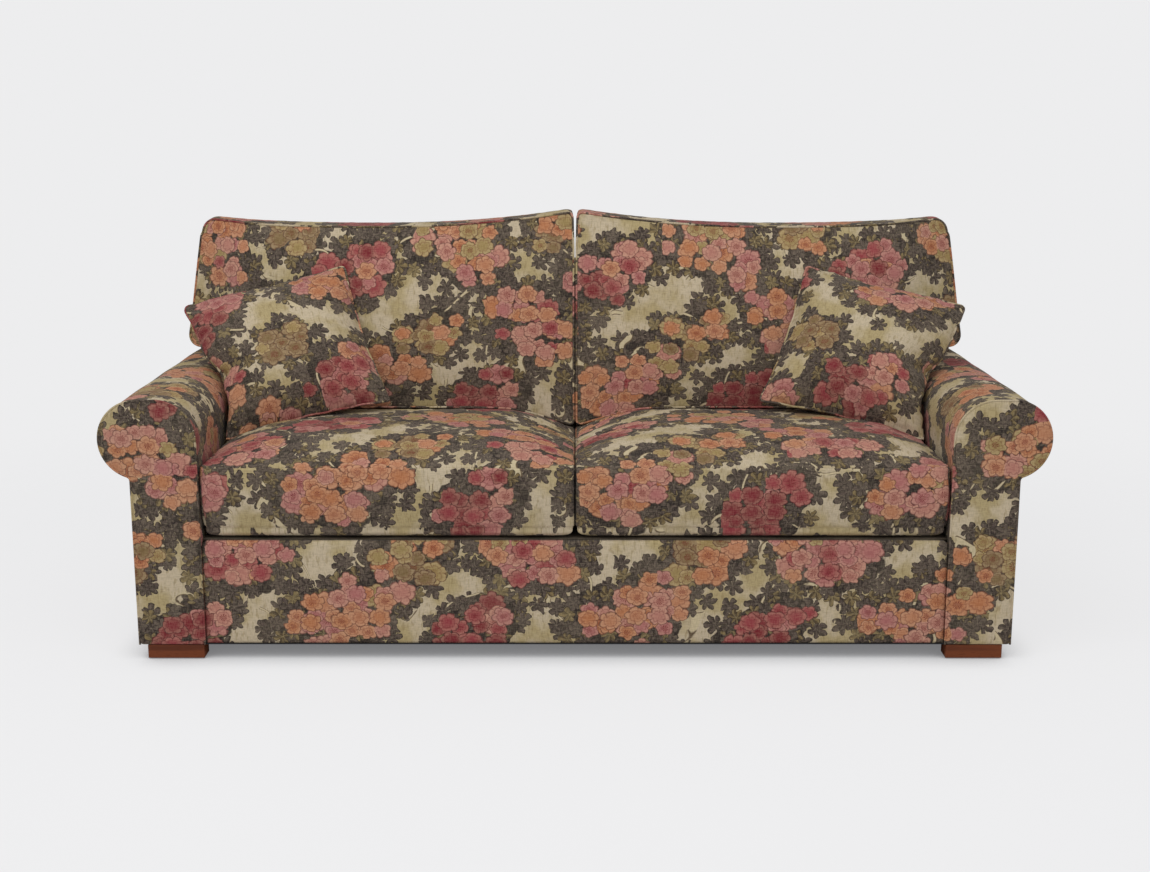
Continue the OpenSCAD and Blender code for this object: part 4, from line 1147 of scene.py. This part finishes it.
for side, hand in ((1, "left"), (-1, "right")):
    across = drawn_close(seat_x0, seat_x1, 0.0125)
    depth = drawn_close(seat_y0, seat_y1, 0.0125)
    gx, gy = np.meshgrid(across, depth, indexing="ij")
    flat_x, flat_y = gx.copy(), gy.copy()
    for corner, toward, radius in [
        ((seat_x0, seat_y0), (1, 1), 0.026),
        ((seat_x1, seat_y0), (-1, 1), 0.014),
        ((seat_x1, seat_y1), (-1, -1), 0.026),
        ((seat_x0, seat_y1), (1, -1), 0.026),
    ]:
        gx, gy = rounded_corner(gx, gy, corner, toward, radius)
    # the sides bulge, the outer one more
    belly = 1 - ((gy - seat_middle[1]) / seat_half[1]) ** 2
    outer = np.clip((seat_middle[0] - gx) / seat_half[0], 0, 1) ** 2
    inner = np.clip((gx - seat_middle[0]) / seat_half[0], 0, 1) ** 2
    gx = gx + 0.010 * belly * outer + 0.0020 * inner
    in_gap = np.minimum(np.minimum(flat_x - seat_x0, seat_x1 - flat_x), np.minimum(flat_y - seat_y0, seat_y1 - flat_y))
    top = np.stack([gx, gy - half_depth, seat_top(gx, gy)], -1)
    under_round, front_tuck, cut_v = 0.044, 0.010, 0.30
    under = seat_low + (seam_low - seat_low) * (1 - np.sqrt(1 - np.clip(1 - in_gap / under_round, 0, 1) ** 2))
    tucked = gy + front_tuck * np.clip(1 - (flat_y - seat_y0) / 0.12, 0, 1) ** 2
    bottom = np.stack([gx, tucked - half_depth, under], -1)
    # more cloth is taken up where the inner rear corner is gathered
    taken_up = 0.20 * smooth_share((flat_y - 0.10) / 0.50) * bell((seat_x1 - flat_x) / 0.15)
    top_uv = np.stack([flat_x, cut_v + seam_high + flat_y + taken_up], -1)
    bottom_uv = np.stack([flat_x, cut_v + seam_low - flat_y], -1)
    kept = np.ones((len(across) - 1, len(depth) - 1), bool)
    levels = beside_seam + list(np.linspace(0.032, 0.118, 8)) + [0.129, 0.1375, 0.1435, 0.1475, boxing]

    def band_row(down):
        def row(i, j):
            share = down / boxing
            edge = top[i, j] * (1 - share) + bottom[i, j] * share
            outward = np.stack([edge[:, 0] - seat_middle[0], edge[:, 1] + half_depth - seat_middle[1]], 1)
            far = np.abs(outward) / np.array(seat_half)
            push = np.where(far > 0.9, np.sign(outward), 0)
            # the boxing is nearly flat where the two cushions meet
            push[:, 0] *= np.where(edge[:, 0] > seat_x1 - 0.03, 0.1, 1)
            edge[:, :2] += push * boxing_puff * math.sin(math.pi * share) ** 0.7
            return edge

        return row

    band = [band_row(d) for d in levels[1:-1]]
    band_v = [cut_v + seam_high - d for d in levels]
    name = hand + "_seat_cushion_cover"
    cushion, rings, used, on_face, on_rear = boxed_cover(name, top, bottom, top_uv, bottom_uv, kept, band, band_v, side)
    seam_gap, seam_run, seam_pull, held = blank_notes(cushion, 0.2)
    beside = np.stack([flat_x - seat_x0, seat_x1 - flat_x, flat_y - seat_y0, seat_y1 - flat_y])
    nearest = beside.argmin(0)
    run = np.where(nearest < 2, flat_y, flat_x) + nearest * 1.37
    corner_pull = np.exp(-np.hypot(flat_x - seat_x1, flat_y - seat_y1) / 0.16)
    corner_pull += 0.5 * np.exp(-np.hypot(flat_x - seat_x0, flat_y - seat_y1) / 0.14)
    pull = np.where(nearest == 1, 0.8, np.where(nearest == 2, 0.35, 0.5)) + 1.2 * corner_pull
    seam_gap[on_face], seam_run[on_face], seam_pull[on_face] = in_gap[used], run[used], pull[used]
    seam_gap[on_rear], held[on_rear] = in_gap[used], 1
    under_back = smooth_share((gy - 0.50) / 0.10)
    held[on_face] = np.maximum(under_back, np.where(in_gap <= 0, 1.0, 0.0))[used]
    wi, wj = edge_walk(kept)
    for k, d in enumerate(levels[1:-1], 1):
        seam_gap[rings[k]] = min(d, boxing - d)
        seam_run[rings[k]] = run[wi, wj] + (0.31 if d > boxing / 2 else 0)
        seam_pull[rings[k]] = 0.35 * pull[wi, wj]
        held[rings[k]] = np.where((gy[wi, wj] > 0.55) | (gx[wi, wj] > seat_x1 - 0.012), 1.0, 0.0)
    held[rings[-1]] = 1
    note_seams(cushion, seam_gap, seam_run, seam_pull)
    fill_with_air(cushion, held, 3.5, 0.012, 0.012)
    finer(cushion)
    gather(cushion, 2.0 + side, 0.034, 0.0019, 0.040, 0.0026)
    # folds that run out from the gap and back, where the back cushions press the inner corners down
    points = places(cushion)
    away, back = np.maximum(0, seat_x1 - side * points[:, 0]), points[:, 1] + half_depth
    fold_apart, fold_slant, fold_deep = 0.036, 0.45, 0.0105
    fold = (back - fold_slant * away + 0.006 * np.sin(26 * away + 2 * side)) / fold_apart
    fold += 0.35 * np.sin(17 * back + side)
    valley = np.abs(np.sin(math.pi * fold)) ** 0.55 - 0.66
    reach = bell(away / 0.15) * (1 - bell(away / 0.010))
    reach *= smooth_share((back - 0.08) / 0.22) * (1 - smooth_share((back - 0.57) / 0.06))
    top_side = smooth_share((points[:, 2] - 0.44) / 0.02)
    set_places(cushion, points + point_normals(cushion) * (fold_deep * valley * reach * top_side)[:, None])
    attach(cushion, hand + "_seat")
    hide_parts(hand + "_seat_cushion")

# ---------------------------------------------------------------------------
# Back cushions: fibre-filled, with a piped edge round the face and a boxing
# strip behind it. Each stands on the seat, leans on the back frame, fits
# round the arm scroll, and has an ear over the arm.
# ---------------------------------------------------------------------------
# the left cushion's bottom, its side beside the arm, and its inner side
back_low, wall_x, back_inner = 0.4803, -0.896, -0.004
# the ear's reach at its foot and at its top, and its underside
ear_reach, ear_top_x, ear_low = 1.076, 1.036, 0.642
# where the top edge is lowest, the middle of the crown, and heights of the top edge
sag_x, back_middle = -0.560, (-0.480, 0.760)
outer_top, inner_top, seam_top = 1.005, 1.032, 0.988
lean = math.tan(math.radians(19))
thick, face_lift, apart_at_top, clear_scroll = 0.12, 0.0368, 0.0022, 0.097


def top_edge(x):
    """Height of the top edge, which sags between its two raised ends"""
    inward = 0.040 * (np.clip((x - sag_x) / (back_inner - sag_x), 0, 1)) ** 2.2
    outward = 0.017 * (np.clip((x - sag_x) / (-ear_top_x - sag_x), 0, 1)) ** 2.2
    return seam_top + np.where(x > sag_x, inward, outward)


def back_edge(x, z):
    """Distance from the arm fronts to the cushion's face before it bulges"""
    face_foot, ear_thick, least_thick, ear_start, ear_wide = 0.555, 0.084, 0.060, 0.820, 0.256
    middle = face_foot + (z - back_low) * lean
    ear = inside_back(z) - ear_thick
    share = smooth_share((-x - ear_start) / ear_wide)
    return np.minimum(middle + (ear - middle) * share, inside_back(z) - least_thick)


def back_bulge(x, z):
    """How far the face bulges out; its crown reaches further to the outer side"""
    deepest = 0.058
    u = (x - back_middle[0]) / np.where(x < back_middle[0], 0.596, 0.476)
    v = (z - back_middle[1]) / np.where(z > back_middle[1], 0.245, 0.2797)
    return deepest * crown_share(u, v, 2.5)


for side, hand in ((1, "left"), (-1, "right")):
    ear_columns = drawn_close(-ear_reach, wall_x - 0.031, 0.0125)[:-4]
    main_columns = wall_x + drawn_close(0, back_inner - wall_x, 0.0125)[1:]
    columns = np.r_[ear_columns[:-1], np.linspace(ear_columns[-1], wall_x, 4), main_columns]
    split_i = int(np.argmin(np.abs(columns - wall_x)))
    low_rows = np.r_[beside_seam, 0.031, 0.043, 0.054, 0.065]
    upper = 0.490
    high_rows = np.r_[np.linspace(0, 1, 37)[:-1] * (upper - 0.021), upper - np.array(beside_seam[::-1])]
    high_rows = np.unique(np.round(high_rows, 5)) / upper
    rows = len(low_rows) + len(high_rows) - 1
    split_j = len(low_rows) - 1
    kept = np.ones((len(columns) - 1, rows - 1), bool)
    kept[:split_i, :split_j] = False
    gx = np.repeat(columns[:, None], rows, 1)
    # it stands beside the arm, and from there up it goes round the scroll
    over_arm = scroll_height + np.sqrt(np.clip(clear_scroll**2 - (gx + scroll_in) ** 2, 0, None))
    base = np.where(gx < -scroll_in, ear_low, over_arm)
    base = np.where(gx >= wall_x - 1e-9, scroll_height, base)
    gz = np.zeros_like(gx)
    gz[:, : split_j + 1] = back_low + low_rows
    gz[:, split_j:] = base[:, split_j:] + (top_edge(gx[:, split_j:]) - base[:, split_j:]) * high_rows
    flat_x, flat_z = gx.copy(), gz.copy()
    # the ear's outer edge leans in to the top
    lean_in = (ear_reach - ear_top_x) * np.clip((gz - 0.68) / (outer_top - 0.68), 0, 1)
    gx = np.where(gx < wall_x, wall_x + (gx - wall_x) * (1 - lean_in / (ear_reach + wall_x)), gx)
    # the two cushions stand a little apart at the top
    gx = gx - apart_at_top * smooth_share((gz - 0.92) / 0.10) * smooth_share((gx + 0.24) / 0.20)
    for corner, toward, radius in [
        ((back_inner, back_low), (-1, 1), 0.012),
        ((wall_x, back_low), (1, 1), 0.025),
        ((back_inner - apart_at_top, inner_top), (-1, -1), 0.022),
        ((-ear_top_x, outer_top), (1, -1), 0.036),
        ((-ear_reach, ear_low), (1, 1), 0.032),
    ]:
        near = np.hypot(gx - corner[0], gz - corner[1]) < 1.5 * radius
        rx, rz = rounded_corner(gx, gz, corner, toward, radius)
        gx, gz = np.where(near, rx, gx), np.where(near, rz, gz)
    wi, wj = edge_walk(kept)
    rim = np.stack([gx[wi, wj], gz[wi, wj]], 1)
    rim_run = run_along(rim)
    apart = np.linalg.norm(np.stack([gx, gz], -1)[:, :, None, :] - rim[None, None], axis=3)
    gap, run = apart.min(2), rim_run[apart.argmin(2)]
    # the face's lower edge stands up on the seat, and its inner corner hangs down into the seat's dip
    low_share = np.clip((back_middle[1] - gz) / (back_middle[1] - back_low), 0, 1)
    lift = face_lift * low_share
    above_seat = back_low + face_lift - 0.008 - seat_top(gx, back_edge(gx, back_low) - 0.004)
    sag = np.clip(above_seat, 0, 0.06) * smooth_share((gx + 0.42) / 0.20) * low_share**2
    face_y = back_edge(gx, gz) - back_bulge(gx, gz)
    face = np.stack([gx, face_y - half_depth, gz + lift - sag], -1)
    off_frame, rear_round = 0.0003, 0.010
    rear_y = inside_back(gz) - off_frame - rear_round * np.clip(1 - gap / 0.02, 0, 1) ** 2
    rear = np.stack([gx, rear_y - half_depth, gz - 0.3 * sag], -1)
    cut_v = 0.17
    face_uv = np.stack([flat_x, cut_v + flat_z], -1)
    rear_uv = np.stack([flat_x, cut_v + 0.31 + flat_z], -1)
    shares = [0.0, 0.02, 0.06, 0.12, 0.20] + list(np.linspace(0.3, 0.7, 5)) + [0.80, 0.88, 0.94, 0.98, 1.0]

    def band_row(share):
        def row(i, j):
            edge = face[i, j] * (1 - share) + rear[i, j] * share
            way = np.roll(edge, -1, 0) - np.roll(edge, 1, 0)
            out = unit(np.stack([way[:, 2], -way[:, 0]], 1))
            # the strip is full above the arms, and nearly flat where the two cushions meet
            above_arm, beside_other = edge[:, 2] > 0.66, edge[:, 0] > -0.02
            puff = boxing_puff * math.sin(math.pi * share) * above_arm * np.where(beside_other, 0.1, 1)
            edge[:, 0] += out[:, 0] * puff
            edge[:, 2] += out[:, 1] * puff
            return edge

        return row

    band = [band_row(k) for k in shares[1:-1]]
    band_v = [thick * k for k in shares]
    name = hand + "_back_cushion_cover"
    cushion, rings, used, on_face, on_rear = boxed_cover(name, face, rear, face_uv, rear_uv, kept, band, band_v, side)
    seam_gap, seam_run, seam_pull, held = blank_notes(cushion, 0.2)
    pull = 0.55 + 0.9 * np.exp(-np.hypot(gx - back_inner, gz - inner_top) / 0.09)
    pull += 0.7 * np.exp(-np.hypot(gx + ear_top_x, gz - outer_top) / 0.10)
    seam_gap[on_face], seam_run[on_face], seam_pull[on_face] = gap[used], run[used], pull[used]
    seam_gap[on_rear], held[on_rear] = gap[used], 1
    held[on_face] = np.where(gap[used] < 1e-6, 1.0, smooth_share((0.56 - gz[used]) / 0.06))
    for k, share in enumerate(shares[1:-1], 1):
        seam_gap[rings[k]] = thick * min(share, 1 - share)
        seam_run[rings[k]] = rim_run
        seam_pull[rings[k]] = 0.3
        held[rings[k]] = np.where((rim[:, 1] > 0.70) & (rim[:, 0] < -0.03), 0.3, 1.0)
    held[rings[-1]] = 1
    note_seams(cushion, seam_gap, seam_run, seam_pull)
    fill_with_air(cushion, held, 3.0, 0.015, 0.012)
    seam_path = places(cushion)[rings[0]]
    finer(cushion)
    gather(cushion, 5.0 + side, 0.038, 0.0018, 0.050, 0.0012)
    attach(cushion, hand + "_back")
    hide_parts(hand + "_back_cushion")
    piping = piped_seam(hand + "_back_piping", closed_line(seam_path, 0.007), 0.0030, True, (0.02, 0.19))
    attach(piping, hand + "_back")

# ---------------------------------------------------------------------------
# Scatter cushions: square feather-filled cushions with a knife edge piped in
# the same cloth and drawn-out corners, tucked into the corner of arm and back
# and pressed flat against what they lie on.
# ---------------------------------------------------------------------------
scatter_side, scatter_t, scatter_pull = 0.440, 0.150, 0.015
scatter_mid = (-0.760, 0.470, 0.6843)
tilt, roll, swing = (math.radians(a) for a in (-41, -11, 17))


def turned(u, d, v):
    """A place of the cushion, across it, out of its face and up it, as it leans"""
    y1, z1 = -d * math.cos(tilt) - v * math.sin(tilt), -d * math.sin(tilt) + v * math.cos(tilt)
    x2, z2 = u * math.cos(roll) + z1 * math.sin(roll), z1 * math.cos(roll) - u * math.sin(roll)
    return x2 * math.cos(swing) - y1 * math.sin(swing), x2 * math.sin(swing) + y1 * math.cos(swing), z2


def held_back(value, limit):
    """What lies past a limit is pressed nearly flat against it"""
    return np.where(value > limit, value, limit - (limit - value) * 0.03)


def pressed(x, y, z):
    """The cushion pressed against the seat, the arm and the back cushion"""
    z = held_back(z, seat_top(np.maximum(x, seat_x0 + 0.022), seat_middle[1]) + 0.001)
    off_scroll, arm_high = 0.109, 0.650
    round_arm = -scroll_in + np.sqrt(np.clip(off_scroll**2 - (z - scroll_height) ** 2, 0, None))
    arm = np.where(z < scroll_height, -0.884, round_arm)
    x = np.where(z < arm_high, held_back(x, arm), x)
    y = -held_back(-y, 0.008 - (back_edge(x, z) - back_bulge(x, z)))
    return x, y, z


for side, hand in ((1, "left"), (-1, "right")):
    half = scatter_side / 2
    line = drawn_close(-half, half, 0.011)
    gu, gv = np.meshgrid(line, line, indexing="ij")
    in_gap = np.minimum(half - np.abs(gu), half - np.abs(gv))
    flat_u, flat_v = gu.copy(), gv.copy()
    pull_u = scatter_pull * (1 - (gv / half) ** 2) * (gu / half)
    pull_v = scatter_pull * (1 - (gu / half) ** 2) * (gv / half)
    # the edges waver between the puckers
    waver = 0.0016
    pull_u += waver * np.sin(flat_v / 0.016 + 2 * side) * np.sin(flat_v / 0.041) * (flat_u / half) ** 7
    pull_v += waver * np.sin(flat_u / 0.015 + side) * np.sin(flat_u / 0.037 + 1) * (flat_v / half) ** 7
    gu, gv = gu - pull_u, gv - pull_v
    for corner, toward, radius in [
        ((-half, -half), (1, 1), 0.012),
        ((half, -half), (-1, 1), 0.010),
        ((half, half), (-1, -1), 0.012),
        ((-half, half), (1, -1), 0.018),
    ]:
        gu, gv = rounded_corner(gu, gv, corner, toward, radius)
    # the arm pushes the outer edge in, and the corner above it droops
    nip_low, nip_deep = 0.030, 0.030
    nip = bell((flat_v + nip_low) / 0.052)
    gu = gu + nip_deep * nip * np.clip(-flat_u / half, 0, 1) ** 4
    droop_deep, droop_wide = 0.013, 0.075
    droop = droop_deep * bell(np.hypot(flat_u + half, flat_v - half) / droop_wide)
    plump = scatter_t / 2 * crown_share(flat_u / half, flat_v / half, 2.4) ** 0.6
    faces = []
    for way in (1, -1):
        x, y, z = turned(gu, way * (plump + 0.0012), gv)
        x, y, z = pressed(scatter_mid[0] + x, scatter_mid[1] + y, scatter_mid[2] + z - droop)
        faces.append(np.stack([x, y - half_depth, z], -1))
    face_uv = np.stack([flat_u - 0.76, flat_v + 0.55], -1)
    rear_uv = np.stack([flat_u + 0.1, flat_v], -1)
    kept = np.ones((len(line) - 1, len(line) - 1), bool)
    name = hand + "_scatter_cushion_cover"
    cushion, rings, _, on_face, on_rear = boxed_cover(name, *faces, face_uv, rear_uv, kept, [], [0.0, 0.0024], side)
    seam_gap, seam_run, seam_pull, held = blank_notes(cushion, 0.0)
    nearest = np.stack([half + flat_u, half - flat_u, half + flat_v, half - flat_v]).argmin(0)
    run = np.where(nearest < 2, flat_v, flat_u) + nearest * 1.21
    rub = 0.6 + 0.8 * np.exp(-np.hypot(np.abs(flat_u) - half, np.abs(flat_v) - half) / 0.10)
    middle = np.array([scatter_mid[0], scatter_mid[1] - half_depth, scatter_mid[2]])
    touching = np.abs(faces[1] - np.stack(turned(gu, -plump, gv), -1) - middle).sum(-1) > 0.004
    for panel in (on_face, on_rear):
        seam_gap[panel], seam_run[panel], seam_pull[panel] = in_gap.ravel(), run.ravel(), rub.ravel()
    held[on_face] = np.where(in_gap <= 0, 1.0, 0.0).ravel()
    held[on_rear] = np.where((in_gap <= 0) | touching, 1.0, 0.0).ravel()
    note_seams(cushion, seam_gap, seam_run, seam_pull)
    # a crease runs in from the nip
    line_up = bell((flat_v + nip_low + 0.25 * (flat_u + half)) / 0.013)
    crease = np.zeros(len(seam_gap))
    crease[on_face] = (line_up * bell((flat_u + half) / 0.085)).ravel()
    note(cushion, "crease", crease)
    fill_with_air(cushion, held, 2.5, 0.02, 0.010)
    ends = places(cushion)
    seam_path = (ends[rings[0]] + ends[rings[1]]) / 2
    finer(cushion)
    gather(cushion, 8.0 + side, 0.032, 0.0028, 0.045, 0.0)
    crease_deep = 0.009
    set_places(cushion, places(cushion) - point_normals(cushion) * (crease_deep * noted(cushion, "crease"))[:, None])
    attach(cushion, hand + "_scatter")
    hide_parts(hand + "_scatter_cushion")
    piping = piped_seam(hand + "_scatter_piping", closed_line(seam_path, 0.006), 0.0032, True, (0.03, -0.09))
    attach(piping, hand + "_scatter")

# ---------------------------------------------------------------------------
# Cushion fillings: a cut foam block in each seat cushion and a fibre-filled
# inner in each back cushion, which their covers hide.
# ---------------------------------------------------------------------------
fillings = {
    "left_seat_core": "left_seat",
    "right_seat_core": "right_seat",
    "left_back_fill": "left_back",
    "right_back_fill": "right_back",
}
for name, body in fillings.items():
    inner_shape = bmesh.new()
    inner_shape.from_mesh(nodes[name].data)
    bmesh.ops.remove_doubles(inner_shape, verts=inner_shape.verts, dist=1e-5)
    bmesh.ops.dissolve_limit(inner_shape, angle_limit=0.02, verts=inner_shape.verts, edges=inner_shape.edges)
    bmesh.ops.bevel(inner_shape, geom=inner_shape.edges[:], offset=0.012, segments=3, profile=0.6, affect="EDGES")
    mesh = bpy.data.meshes.new(name + "_block")
    inner_shape.to_mesh(mesh)
    inner_shape.free()
    mesh.materials.append(foam)
    block = placed(name + "_block", mesh)
    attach(block, body)
    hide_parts(name)
